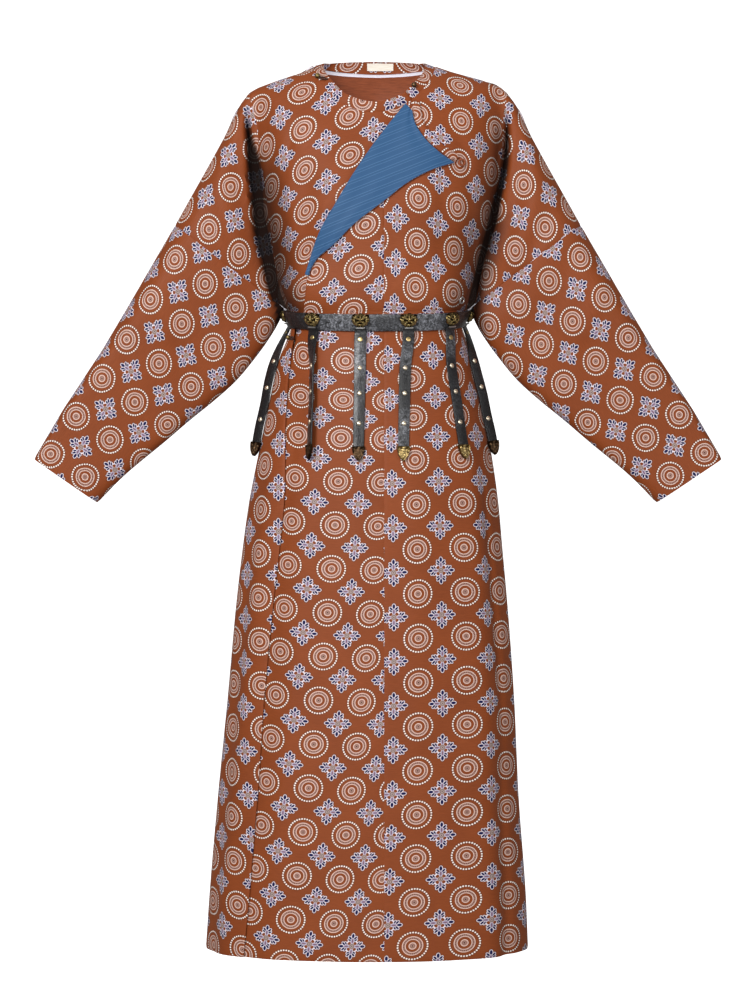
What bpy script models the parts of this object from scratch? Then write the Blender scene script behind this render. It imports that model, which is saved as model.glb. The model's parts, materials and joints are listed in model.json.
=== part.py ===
"""Round-collar robe with its belt, worn form, hollow.

Metres, +Z up, the front faces -Y and the wearer's left is +X. The origin is between the shoulders, where
the wearer carries the robe. The tables and working values below are in millimetres.
"""

import math

import bpy
import numpy as np

MM = 0.001
CLOTH = 1.6
SEAM = 0.3
WIDE_SEAM = 0.7
SQUARE = 2.3
SOFT_SIDE = 0.35

# Half widths at the side fold (wearer's right and left) and half depths of the body at each height.
BODY = {
    "z": (20, -39, -99, -159, -219, -279, -352, -359, -372, -399, -429, -489, -564, -639, -706, -782, -932, -1082,
          -1232, -1305),
    "right": (186, 186, 181, 172, 164, 153, 138, 130, 125, 132, 142, 155, 170, 184, 193, 202, 216, 231, 244, 249),
    "left": (187, 189, 191, 186, 177, 162, 139, 131, 127, 134, 142, 156, 170, 180, 186, 193, 204, 211, 222, 225),
    "front": (104, 104, 108, 112, 110, 105, 99, 96, 94, 98, 102, 108, 116, 122, 126, 130, 137, 144, 150, 153),
    "back": (80, 82, 88, 92, 90, 84, 80, 77, 75, 82, 92, 106, 116, 122, 125, 129, 136, 142, 148, 150),
}
# Fold along the shoulder and the top of the sleeve, from the neck to the cuff.
TOP_FOLD = {
    "z": (12, 3, -9, -21, -29, -45, -99, -228, -414, -504, -577),
    "right": (90, 112, 147, 178, 192, 204, 231, 303, 412, 471, 514),
    "left": (88, 114, 156, 186, 195, 207, 234, 306, 415, 474, 517),
}
# Fold along the underside of the sleeve, from the underarm to the cuff.
UNDER_FOLD = {
    "z": (-352, -376, -399, -429, -459, -489, -519, -549, -609, -643),
    "x": (138.5, 149, 163, 185, 210, 243, 280, 315, 386, 419),
}
SLEEVE_SEAM = {"x": (304, 240, 186, 138.5), "z": (-228, -277, -317, -352)}
# Round neck, from the front centre to the back centre: seam of the collar strip and its free edge.
NECK = {
    "turn": (0, 15, 30, 45, 60, 75, 100, 125, 150, 180),
    "seam_x": (0, 18, 38, 56, 72, 84, 90, 76, 44, 0),
    "seam_z": (-67, -64, -57, -46, -30, -10, 12, 11, 10, 10),
    "edge_x": (0, 15, 32, 47, 60, 71, 76, 66, 38, 0),
    "edge_y": (-66, -64, -60, -53, -42, -24, 10, 37, 52, 58),
    "edge_z": (-51, -49, -43, -34, -19, -3, 17, 22, 26, 28),
}
NECK_SHIFT = -4
NECK_HUMP = 54
NECK_SPREAD = 14
SHOULDER_TURN = 100
SHOULDER_BACK = 8

WAIST = -352
TILT = 0.143
OUTER_LIFT = 5.5
LAP_LIFT = 9.6

NECK_COLUMNS = 6
TORSO_COLUMNS = 10
BODY_COLUMNS = 15
VALLEY_TURN = 66
LAPEL_COLUMNS = 3
BODY_ROWS = 14
SKIRT_LEVELS = (-352, -359, -370, -384, -402, -430, -475, -535, -610, -700, -800, -900, -1000, -1100, -1205, -1305)
SLEEVE_COLUMNS = 9
OVERLAP_COLUMNS = 8
INNER_COLUMNS = 6
INNER_TURN = 50
LAP_COLUMNS = 8
LAP_TURN = -100
LAP_TOP = -371

# Edges on the front, in the front view.
CENTRE_SEAM_INNER = -3
CENTRE_SEAM_OUTER = 7
LAPEL_CROSSING = -107
LAPEL_TURN = 45
LAPEL_FOLD = {"x": (52, 19, -22, -55, -80, -102), "z": (-66, -90, -148, -203, -246, -309)}
LAPEL_NECK = {"x": (52, 55, 69, 94, 114), "z": (-66, -82, -106, -130, -143)}
LAPEL_FRONT = {"x": (114, 80, 48, 8, -32, -66, -90, -102), "z": (-143, -155, -172, -203, -234, -267, -287, -309)}
CLOSING_EDGE = {"z": (-309, -335, -366, -400, -639, -1305), "x": (-102, -106, -107, -118, -150, -222)}
INNER_EDGE = {"z": (-40, -90, -160, -360, -1305), "x": (64, 78, 96, 84, 128)}
LAP_EDGE = {"z": (-366, -380, -420, -470, -639, -782, -932, -1082, -1232, -1305),
            "x": (-117, -118, -121, -125, -131, -146, -160, -170, -181, -188)}

FOLD_RADIUS = {"neck_front": 25, "shoulder_front": 38, "back": 30, "sleeve": 40, "underside": 12}
SLEEVE_DEPTH = {"valley": 22, "arm": 50, "cuff_share": 0.42}

# Main soft folds of the front and the back above the waist: ends, half width and height in millimetres.
FOLDS = {
    "side": ("front", "front", "front", "front", "back", "back", "back"),
    "x1": (-168, -150, 172, 150, -160, 165, -60),
    "z1": (-120, -90, -90, -110, -110, -100, -240),
    "x2": (-140, -120, 150, 148, -135, 138, -50),
    "z2": (-330, -290, -300, -220, -320, -310, -340),
    "width": (10, 14, 10, 14, 14, 12, 16),
    "height": (5, 5, 5, 4, 6, 5, 4),
}

COLLAR_THICK = 2.2
LINING = {"rows": 6, "columns": 6, "inset": 2.0, "thick": 1.0}
LABEL = {"x": (-15, 25), "shares": (0.3, 0.9), "thick": 0.6}
# Height over the outer front, thickness and rows of the turned-out corner and of what lies on it.
LAPEL = {"turned": 3.6, "thick": 1.6, "facing": 4.9, "facing_thick": 0.9, "band": 5.1, "band_thick": 2.4,
         "band_width": 13, "neck_rows": 5, "front_rows": 11, "columns": 5, "top": (45, -57), "part": 1.1}
# Angles, in degrees, at which the turned-out cloth is set as it curls over from behind its fold.
CURL = (15, 60)
CURL_FACING = (110, 165)

BELT = {"top": -354.5, "bottom": -379.5, "clear": 1.1, "thick": 3.0}
STRAP = {
    "belt_x": (-129, -86, -22, 42, 100, 131),
    "top_x": (-129, -87, -23, 40, 98, 131),
    "tip_x": (-171, -93, -26, 37, 121, 171),
    "end_level": (-554, -559, -561, -561, -558, -552),
    "twist": (-36, 48, 0, 0, 0, 36),
}
BOSS_CLEAR = 0.4
STRAP_WIDTH = 18.5
STRAP_THICK = 2.4
STRAP_CLEAR = 0.6
STRAP_HANG = {"below": -14.2, "out": 1.2, "fade": 0.3}
STRAP_TOP = -382
STRAP_ROWS = 12
# Outlines from the middle, seen from outside, in millimetres: right and up.
BOSS_OUTLINE = {"right": (14, 12.5, 8.5, 3, -3, -8.5, -12.5, -14, -12.5, -8.5, -6, -6, 6, 6, 8.5, 12.5),
                "up": (0, 5, 8.5, 9.5, 9.5, 8.5, 5, 0, -5, -8.5, -9.6, -13.5, -13.5, -9.6, -8.5, -5)}
BOSS_RINGS = {"share": (1, 1, 0.86, 0.6, 0.25), "height": (0, 1.5, 4.0, 5.8, 6.6), "middle": 0}
TIP_OUTLINE = {"right": (9.7, 9.7, -9.7, -9.7, -7.8, -4, 0, 4, 7.8),
               "up": (-13, 0, 0, -13, -18, -21, -22, -21, -18)}
TIP_RINGS = {"share": (1, 1, 0.8, 0.4), "height": (-2.4, 0.6, 1.8, 2.4), "middle": -10}
BUTTON = {"sides": 10, "neck": 4.0, "hip": 3.5, "stand": 0.4, "stand_on_curve": -0.7}
# Places in the front view of the button on the wearer's right shoulder, the button at the hip, the knotted loop
# at the corner of the turned-out front and the ring on the belt, with the radii of the loop and the ring.
NECK_BUTTON = {"x": -88, "z": -10}
HIP_BUTTON = {"x": -122, "level": -393}
CORNER_LOOP = {"x": 124, "z": -142, "radius": 5, "cord": 1.6}
BELT_RING = {"x": 124, "z": -344, "radius": 4.5, "cord": 1.1}

COLOURS = {
    "robe": (0.30, 0.078, 0.029, 0.55, 0.0),
    "collar": (0.27, 0.07, 0.026, 0.55, 0.0),
    "blue": (0.055, 0.16, 0.34, 0.6, 0.0),
    "white": (0.82, 0.82, 0.86, 0.6, 0.0),
    "leather": (0.018, 0.018, 0.021, 0.3, 0.0),
    "brass": (0.30, 0.22, 0.09, 0.4, 1.0),
    "silver": (0.55, 0.55, 0.56, 0.3, 1.0),
    "label": (0.72, 0.66, 0.56, 0.7, 0.0),
}


def clear_scene():
    for thing in list(bpy.data.objects):
        bpy.data.objects.remove(thing, do_unlink=True)


def material(name):
    found = bpy.data.materials.get(name)
    if found:
        return found
    red, green, blue, rough, metal = COLOURS[name]
    made = bpy.data.materials.new(name)
    made.use_nodes = True
    shader = made.node_tree.nodes["Principled BSDF"]
    shader.inputs["Base Color"].default_value = (red, green, blue, 1)
    shader.inputs["Roughness"].default_value = rough
    shader.inputs["Metallic"].default_value = metal
    return made


def ease(low, high, value):
    share = np.clip((np.asarray(value, float) - low) / (high - low), 0, 1)
    return share * share * (3 - 2 * share)


def through(knots, values, at):
    """Smooth curve through table rows; the knots may rise or fall."""
    knots = np.asarray(knots, float)
    values = np.asarray(values, float)
    if knots[0] > knots[-1]:
        knots, values = knots[::-1], values[::-1]
    slopes = np.gradient(values, knots)
    at = np.clip(np.asarray(at, float), knots[0], knots[-1])
    low = np.clip(np.searchsorted(knots, at) - 1, 0, len(knots) - 2)
    span = knots[low + 1] - knots[low]
    f = (at - knots[low]) / span
    start, end = (1 + 2 * f) * (1 - f) ** 2, f * f * (3 - 2 * f)
    rise = span * (f * (1 - f) ** 2 * slopes[low] - f * f * (1 - f) * slopes[low + 1])
    return start * values[low] + end * values[low + 1] + rise


def along(xs, zs, shares):
    """Points at shares of the length of a curve in the front view."""
    xs, zs = np.asarray(xs, float), np.asarray(zs, float)
    run = np.concatenate([[0], np.cumsum(np.hypot(np.diff(xs), np.diff(zs)))])
    at = np.asarray(shares, float) * run[-1]
    return np.stack([through(run, xs, at), through(run, zs, at)], axis=-1)


def distance_to(points, x, z):
    """Distance from each (x, z) to a run of points."""
    spot = np.stack([x, z], axis=-1)[..., None, :]
    start, end = points[:-1], points[1:]
    run = end - start
    share = np.clip(((spot - start) * run).sum(-1) / (run * run).sum(-1), 0, 1)
    return np.linalg.norm(spot - (start + share[..., None] * run), axis=-1).min(-1)


def top_line(side):
    """The shoulder and sleeve fold with the line that it would follow over the open neck."""
    over_neck = [(x, 12 + NECK_HUMP * (1 - (x / 90) ** 2)) for x in range(0, 90, 10)]
    fold = list(zip(TOP_FOLD[side], TOP_FOLD["z"]))
    return np.array(over_neck + fold, float)


def half_width(side, level):
    return through(BODY["z"], BODY[side], level)


def belt_tilt(level):
    return TILT * ease(-250, -345, level) * ease(-560, -410, level)


def fold_height(x, z, face):
    """Height that the soft folds add at a place in the front view."""
    total = np.zeros_like(x, float)
    for k, side in enumerate(FOLDS["side"]):
        if side != face:
            continue
        line = np.array([(FOLDS["x1"][k], FOLDS["z1"][k]), (FOLDS["x2"][k], FOLDS["z2"][k])], float)
        total = total + FOLDS["height"][k] * np.exp(-((distance_to(line, x, z) / FOLDS["width"][k]) ** 2))
    return total


def depth(x, z, face):
    """Distance of the front or the back sheet from the shoulder plane, above the waist."""
    x, z = np.broadcast_arrays(np.asarray(x, float), np.asarray(z, float))
    result = np.zeros(x.shape)
    for side, mine in (("right", x < 0), ("left", x >= 0)):
        if not mine.any():
            continue
        ax, az = np.abs(x[mine]), z[mine]
        away = distance_to(top_line(side), ax, az)
        if face == "front":
            near_neck, near_tip = FOLD_RADIUS["neck_front"], FOLD_RADIUS["shoulder_front"]
            sag = near_neck + (near_tip - near_neck) * ease(0, 120, ax)
        else:
            sag = FOLD_RADIUS["back"] + 0 * ax
        sag = sag + (FOLD_RADIUS["sleeve"] - sag) * ease(180, 260, ax)
        flat = through(BODY["z"], BODY[face], az)
        reach = np.clip(1 - (ax / half_width(side, az)) ** SQUARE, 0, 1) ** (1 / SQUARE)
        level = az + belt_tilt(az) * flat * reach * (1 if face == "front" else -1)
        wide = half_width(side, level)
        inside = np.clip(1 - (ax / wide) ** SQUARE, 0, 1)
        torso = through(BODY["z"], BODY[face], level) * inside ** (1 / SQUARE + SOFT_SIDE * ease(-345, -290, az))
        under = np.array(list(zip(UNDER_FOLD["x"], UNDER_FOLD["z"])), float)
        arm = SLEEVE_DEPTH["valley"] + (SLEEVE_DEPTH["arm"] - SLEEVE_DEPTH["valley"]) * ease(-10, 70, ax - wide)
        arm = arm * (1 - (1 - SLEEVE_DEPTH["cuff_share"]) * ease(-228, -600, az))
        arm = arm * (1 - 0.3 * ease(60, 180, away))
        low = np.sqrt(2 * FOLD_RADIUS["underside"] * np.maximum(distance_to(under, ax, az), 0))
        arm = (np.maximum(arm, 1e-3) ** -4 + np.maximum(low, 1e-3) ** -4) ** (-1 / 4)
        both = (torso ** 3 + arm ** 3) ** (1 / 3)
        both = both + fold_height(x[mine], az, face) * ease(10, 40, both)
        top = np.sqrt(2 * sag * away)
        upper = (np.maximum(both, 1e-3) ** -6 + np.maximum(top, 1e-3) ** -6) ** (-1 / 6)
        girt = through(BODY["z"], BODY[face], level) * inside ** (1 / SQUARE)
        near = ease(-262, -346, level) * (1 - ease(0.8, 0.97, ax / wide))
        result[mine] = (1 - near) * upper + near * girt
    return result


def shoulder_plane(x, z):
    return SHOULDER_BACK * (1 - ease(85, 190, np.abs(x))) * ease(-420, -60, z)


def outer_lift(x, z):
    """How far the outer front lies over the inner one above the waist."""
    ax = np.asarray(x, float)
    away = np.where(ax < 0, 200, distance_to(top_line("left"), np.abs(ax), np.asarray(z, float)))
    tight = 1 - 0.45 * ease(-300, -350, z)
    return OUTER_LIFT * (1 - ease(80, 128, ax)) * ease(8, 55, away) * tight


def front_point(x, z, lift=0.0):
    return np.stack([x, shoulder_plane(x, z) - depth(x, z, "front") - lift, z], axis=-1)


def back_point(x, z, lift=0.0):
    return np.stack([x, shoulder_plane(x, z) + depth(x, z, "back") + lift, z], axis=-1)


def ring_point(level, turn, lift=0.0):
    """Torso and skirt below the waist; turn in degrees from the front centre, wearer's left positive."""
    turn, level = np.broadcast_arrays(np.asarray(turn, float), np.asarray(level, float))
    angle = np.radians(turn)
    power = 2 / SQUARE
    wide = np.where(turn < 0, half_width("right", level), half_width("left", level)) + lift
    deep = np.where(np.abs(turn) <= 90, -through(BODY["z"], BODY["front"], level) - lift,
                    through(BODY["z"], BODY["back"], level) + lift)
    x = wide * np.sign(angle) * np.abs(np.sin(angle)) ** power
    y = deep * np.abs(np.cos(angle)) ** power
    return np.stack([x, y, level + belt_tilt(level) * y], axis=-1)


def ring_turn(level, x):
    """Turn at which the front of a ring reaches x."""
    x, level = np.broadcast_arrays(np.asarray(x, float), np.asarray(level, float))
    wide = np.where(x < 0, half_width("right", level), half_width("left", level))
    return np.degrees(np.arcsin(np.clip(np.abs(x) / wide, 0, 1) ** (SQUARE / 2))) * np.sign(x)


def ring_outer_lift(level, turn):
    open_share = 1 - 0.45 * ease(-400, -372, level)
    return OUTER_LIFT * (1 - ease(42, 78, turn)) * open_share


def ring_lap_lift(level, turn):
    open_share = 1 - 0.36 * ease(-420, -380, level)
    return 2.2 + (LAP_LIFT * open_share - 2.2) * ease(-93, -72, turn)


def outermost_lift(level, turn):
    """Height of whatever cloth lies outermost on the skirt, eased over its edges."""
    turn, level = np.broadcast_arrays(np.asarray(turn, float), np.asarray(level, float))
    edge = ring_turn(level, through(LAP_EDGE["z"], LAP_EDGE["x"], level))
    lap = ring_lap_lift(level, turn) * ease(-116, -101, turn) * (1 - ease(edge + 2, edge + 14, turn))
    lap = lap * ease(-358, -369, level)
    outer = ring_outer_lift(level, turn) * ease(-88, -74, turn)
    return np.maximum(np.maximum(lap, outer), 0)


def rows_eased(count):
    """Shares from 0 to 1, closer together at both ends, where the cloth folds over."""
    even = np.linspace(0, 1, count + 1)
    tight = np.where(even < 0.5, 0.85, 0.5)
    return even - tight * np.sin(2 * np.pi * even) / (2 * np.pi)


def patch(inner, outer, top, bottom, across, down):
    """Four-sided patch in the front view: rows run down, columns run across."""
    s, t = across[None, :, None], down[:, None, None]
    blend = (1 - s) * inner[:, None] + s * outer[:, None] + (1 - t) * top[None] + t * bottom[None]
    corners = (1 - s) * (1 - t) * top[0] + s * (1 - t) * top[-1] + (1 - s) * t * bottom[0] + s * t * bottom[-1]
    return blend - corners


def neck_seam(turn):
    """Seam of the collar strip in the front view, for turns from the front centre."""
    x = through(NECK["turn"], NECK["seam_x"], np.abs(turn)) * np.sign(turn) + NECK_SHIFT
    return np.stack([x, through(NECK["turn"], NECK["seam_z"], np.abs(turn))], axis=-1)


class Sheet:
    """Outer face of one piece of cloth, as points and faces, before it is given its thickness."""

    def __init__(self):
        self.points = []
        self.index = {}
        self.faces = []

    def place(self, point):
        key = tuple(round(float(v), 2) + 0.0 for v in point)
        if key not in self.index:
            self.index[key] = len(self.points)
            self.points.append(np.array(point, float))
        return self.index[key]

    def add_grid(self, grid, flip=False):
        """Adds faces of a rows by columns by 3 grid; a face that collapses to a line is left out."""
        rows, columns = grid.shape[:2]
        at = [[self.place(grid[r, c]) for c in range(columns)] for r in range(rows)]
        for r in range(rows - 1):
            for c in range(columns - 1):
                loop = [at[r][c], at[r + 1][c], at[r + 1][c + 1], at[r][c + 1]]
                self.add_loop(loop[::-1] if flip else loop)
        return self

    def add_loop(self, loop):
        """Splits four corners along their shorter diagonal, so that both faces of the wall bend alike."""
        a, b, c, d = (self.points[v] for v in loop)
        if np.linalg.norm(a - c) > np.linalg.norm(b - d):
            loop = loop[1:] + loop[:1]
        for corners in (loop[:3], [loop[0]] + loop[2:]):
            if len(set(corners)) == 3:
                self.faces.append(corners)


def face_normal(points):
    """Area vector of a loop of points."""
    total = np.zeros(3)
    for k in range(1, len(points) - 1):
        total += np.cross(points[k] - points[0], points[k + 1] - points[0])
    return total / 2


def shared_normals(sheets):
    """Normals at each place, summed over all the sheets that meet there, so that walls meet face to face."""
    sums = {}
    for sheet in sheets:
        for face in sheet.faces:
            area = face_normal([sheet.points[v] for v in face])
            for v in face:
                key = tuple(np.round(sheet.points[v], 1) + 0.0)
                sums[key] = sums.get(key, 0) + area
    return sums


def wall(name, sheet, sums, thick, colour, gap=SEAM):
    """Closed wall from a sheet: each point moved in by the thickness, the rim closed, the seams parted."""
    points = np.array(sheet.points)
    normals = np.array([sums[tuple(np.round(p, 1) + 0.0)] for p in points])
    normals /= np.linalg.norm(normals, axis=1)[:, None]
    edges = {}
    for face in sheet.faces:
        for k, v in enumerate(face):
            edges[(face[k - 1], v)] = True
    rim = [edge for edge in edges if (edge[1], edge[0]) not in edges]
    inward = {v: np.zeros(3) for edge in rim for v in edge}
    tangent = {v: np.zeros(3) for v in inward}
    for a, b in rim:
        run = points[b] - points[a]
        tangent[a] += run
        tangent[b] += run
        side = np.cross(normals[a] + normals[b], run)
        inward[a] += side / max(np.linalg.norm(side), 1e-9)
        inward[b] += side / max(np.linalg.norm(side), 1e-9)
    for v, move in inward.items():
        move = move - normals[v] * (move @ normals[v])
        points[v] = points[v] + move / max(np.linalg.norm(move), 1e-9) * gap / 2
    count = len(points)
    inner = points - normals * thick
    faces = [list(f) for f in sheet.faces]
    faces += [[v + count for v in reversed(f)] for f in sheet.faces]
    faces += [[b, a, a + count, b + count] for a, b in rim]
    mesh = bpy.data.meshes.new(name)
    mesh.from_pydata([tuple(p * MM) for p in np.concatenate([points, inner])], [], faces)
    return finish(name, mesh, colour)


def finish(name, mesh, colour):
    mesh.materials.append(material(colour))
    mesh.shade_smooth()
    mesh.set_sharp_from_angle(angle=math.radians(40))
    thing = bpy.data.objects.new(name, mesh)
    bpy.context.scene.collection.objects.link(thing)
    return thing


def body_turns():
    torso = np.linspace(0, VALLEY_TURN, TORSO_COLUMNS + 1)
    return np.concatenate([torso, np.linspace(VALLEY_TURN, 90, BODY_COLUMNS - TORSO_COLUMNS + 1)[1:]])


def front_tops(side):
    """Top edge of a front panel: round the neck seam, then along the shoulder and sleeve fold."""
    if side == "right":
        neck = neck_seam(-np.linspace(0.5, SHOULDER_TURN, NECK_COLUMNS + 1))
    else:
        fold = along(LAPEL_FOLD["x"][:2] + (CENTRE_SEAM_OUTER,), LAPEL_FOLD["z"][:2] + (LAPEL_CROSSING,),
                     np.linspace(1, 0, LAPEL_COLUMNS + 1))
        ring = neck_seam(np.linspace(LAPEL_TURN, SHOULDER_TURN, NECK_COLUMNS - LAPEL_COLUMNS + 1))
        neck = np.concatenate([fold[:-1], ring])
    return np.concatenate([neck, shoulder_columns(side, neck[-1])])


def shoulder_columns(side, start):
    """Columns on the shoulder fold after the neck point, closer together round the shoulder tip."""
    sign = -1 if side == "right" else 1
    xs, zs = TOP_FOLD[side], TOP_FOLD["z"]
    to_tip = np.linspace(0, 1, TORSO_COLUMNS - NECK_COLUMNS + 1)[1:]
    to_seam = np.linspace(0, 1, BODY_COLUMNS - TORSO_COLUMNS + 1)[1:]
    shoulder = along([abs(start[0])] + list(xs[1:5]), [start[1]] + list(zs[1:5]), to_tip)
    arm = along(xs[4:8], zs[4:8], to_seam)
    return np.concatenate([shoulder, arm]) * np.array([sign, 1])


def valley_points(side, top, bottom):
    """The deep crease from the shoulder tip to the underarm, where the sleeve cloth meets the chest."""
    sign = -1 if side == "right" else 1
    levels = np.array([-75, -120, -180, -240, -300])
    xs = np.concatenate([[top[0]], (half_width(side, levels) - 3) * sign, [bottom[0]]])
    zs = np.concatenate([[top[1]], levels, [bottom[1]]])
    return along(xs, zs, rows_eased(BODY_ROWS))


def torso_patch(side, inner, top, waist):
    """Front-view places of one sheet above the waist: centre to the deep crease, then on to the sleeve seam."""
    bottom = waist[:, [0, 2]]
    outer = seam_points(side)
    outer[-1] = bottom[-1]
    valley = valley_points(side, top[TORSO_COLUMNS], bottom[TORSO_COLUMNS])
    down = rows_eased(BODY_ROWS)
    split = TORSO_COLUMNS
    chest = patch(inner, valley, top[:split + 1], bottom[:split + 1], np.linspace(0, 1, split + 1), down)
    arm = patch(valley, outer, top[split:], bottom[split:], np.linspace(0, 1, BODY_COLUMNS - split + 1), down)
    flat = np.concatenate([chest, arm[:, 1:]], axis=1)
    beside = np.exp(-((np.arange(BODY_COLUMNS + 1) - NECK_COLUMNS) / 1.8) ** 2) * (np.arange(BODY_COLUMNS + 1) > 0)
    spread = np.sin(np.pi * np.sqrt(np.clip(down / 0.6, 0, 1)))
    flat[..., 0] += NECK_SPREAD * spread[:, None] * beside * (-1 if side == "right" else 1)
    return flat


def seam_points(side):
    sign = -1 if side == "right" else 1
    xs = [TOP_FOLD[side][7]] + list(SLEEVE_SEAM["x"][1:-1]) + [half_width(side, WAIST)]
    spots = along(xs, SLEEVE_SEAM["z"], rows_eased(BODY_ROWS))
    return np.stack([spots[:, 0] * sign, spots[:, 1]], axis=-1)


def upper_front(side, inner_edge, lift_on):
    """Front sheet above the waist as a grid, rows from the neck and shoulder down to the waist."""
    sign = -1 if side == "right" else 1
    turns = body_turns() * sign
    turns[0] = ring_turn(WAIST, inner_edge[-1][0])
    lift = ring_outer_lift(WAIST, turns) if lift_on else 0 * turns
    waist = ring_point(WAIST, turns, lift)
    inner = along([p[0] for p in inner_edge], [p[1] for p in inner_edge], rows_eased(BODY_ROWS))
    inner[-1] = waist[0][[0, 2]]
    top = front_tops(side)
    top[0] = inner[0]
    flat = torso_patch(side, inner, top, waist)
    lifted = outer_lift(flat[..., 0], flat[..., 1]) if lift_on else 0.0
    return settle(front_point(flat[..., 0], flat[..., 1], lifted), waist)


def upper_back(side):
    sign = -1 if side == "right" else 1
    turns = (180 - body_turns()) * sign
    waist = ring_point(WAIST, turns)
    turns_top = np.linspace(180, SHOULDER_TURN, NECK_COLUMNS + 1) * sign
    neck = neck_seam(turns_top)
    neck[0][0] = 0
    waist[0][0] = 0
    top = np.concatenate([neck, shoulder_columns(side, neck[-1])])
    inner = along([0, 0], [top[0][1], waist[0][2]], rows_eased(BODY_ROWS))
    flat = torso_patch(side, inner, top, waist)
    return settle(back_point(flat[..., 0], flat[..., 1]), waist)


def settle(grid, waist):
    """Closes a sheet on the shoulder fold and sets its last row on the ring of the waist."""
    grid[0, NECK_COLUMNS:, 1] = shoulder_plane(grid[0, NECK_COLUMNS:, 0], grid[0, NECK_COLUMNS:, 2])
    grid[-1] = waist
    return grid


def skirt(side, front_edge, lift_on):
    """Skirt below the waist, from the front centre seam round the side to the back centre."""
    sign = -1 if side == "right" else 1
    turns = np.concatenate([body_turns(), 180 - body_turns()[::-1][1:]]) * sign
    rows = []
    for level in SKIRT_LEVELS:
        mine = turns.copy()
        mine[0] = ring_turn(level, front_edge)
        lift = ring_outer_lift(level, mine) if lift_on else 0 * mine
        row = ring_point(level, mine, lift)
        row[-1][0] = 0
        rows.append(row)
    return np.array(rows)


def body_sheet(side):
    front_edge = CENTRE_SEAM_INNER if side == "right" else CENTRE_SEAM_OUTER
    lift_on = side == "left"
    waist_z = ring_point(WAIST, ring_turn(WAIST, front_edge), ring_outer_lift(WAIST, 0) if lift_on else 0.0)[2]
    start = LAPEL_CROSSING if lift_on else neck_seam(-0.5)[1]
    front = upper_front(side, [(front_edge, start), (front_edge, waist_z)], lift_on)
    flip = side == "right"
    back = upper_back(side)
    below = skirt(side, front_edge, lift_on)
    sheet = Sheet()
    sheet.add_grid(front, flip)
    sheet.add_grid(back, not flip)
    sheet.add_grid(below, flip)
    return sheet, front, back, below


def sleeve_sheet(side, body_front, body_back):
    """Sleeve extension as a flattened tube from the slanted seam to the cuff."""
    sign = -1 if side == "right" else 1
    across = np.linspace(0, 1, SLEEVE_COLUMNS + 1)
    down = rows_eased(BODY_ROWS)
    seam = seam_points(side)
    cuff = along([TOP_FOLD[side][-1], UNDER_FOLD["x"][-1]], [TOP_FOLD["z"][-1], UNDER_FOLD["z"][-1]], down)
    cuff[:, 0] *= sign
    top = along(TOP_FOLD[side][7:], TOP_FOLD["z"][7:], across) * np.array([sign, 1])
    xs = (half_width(side, WAIST),) + UNDER_FOLD["x"][1:]
    bottom = along(xs, UNDER_FOLD["z"], across) * np.array([sign, 1])
    flat = patch(seam, cuff, top, bottom, across, down)
    front = front_point(flat[..., 0], flat[..., 1])
    back = back_point(flat[..., 0], flat[..., 1])
    for grid in (front, back):
        grid[0, :, 1] = shoulder_plane(grid[0, :, 0], grid[0, :, 2])
        grid[-1, :, 1] = 0
    front[:, 0], back[:, 0] = body_front[:, -1], body_back[:, -1]
    sheet = Sheet()
    flip = side == "right"
    sheet.add_grid(front, flip)
    sheet.add_grid(back, not flip)
    return sheet


def front_overlap_sheet(left_front, left_skirt):
    """Wearer's right of the outer front: centre seam to the turned fold and the closing edge, down to the hem."""
    across = np.linspace(0, 1, OVERLAP_COLUMNS + 1)
    ends = ring_turn(WAIST, CENTRE_SEAM_OUTER), ring_turn(WAIST, CLOSING_EDGE["x"][1])
    turns = np.linspace(*ends, OVERLAP_COLUMNS + 1)
    waist = ring_point(WAIST, turns, ring_outer_lift(WAIST, turns))
    xs = (CENTRE_SEAM_OUTER,) + LAPEL_FOLD["x"][2:] + (waist[-1][0],)
    zs = (LAPEL_CROSSING,) + LAPEL_FOLD["z"][2:] + (waist[-1][2],)
    edge = along(xs, zs, rows_eased(BODY_ROWS))
    inner = left_front[:, 0][:, [0, 2]]
    flat = inner[:, None] + across[None, :, None] * (edge - inner)[:, None]
    above = front_point(flat[..., 0], flat[..., 1], outer_lift(flat[..., 0], flat[..., 1]))
    above[-1] = waist
    above[:, 0] = left_front[:, 0]
    above[0] = left_front[0, 0]
    rows = [above[-1]]
    for k, level in enumerate(SKIRT_LEVELS[1:], 1):
        end = ring_turn(level, through(CLOSING_EDGE["z"], CLOSING_EDGE["x"], level))
        turns = np.linspace(ring_turn(level, CENTRE_SEAM_OUTER), end, OVERLAP_COLUMNS + 1)
        row = ring_point(level, turns, ring_outer_lift(level, turns))
        row[0] = left_skirt[k, 0]
        rows.append(row)
    sheet = Sheet()
    sheet.add_grid(above, True)
    sheet.add_grid(np.array(rows), True)
    return sheet


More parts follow.
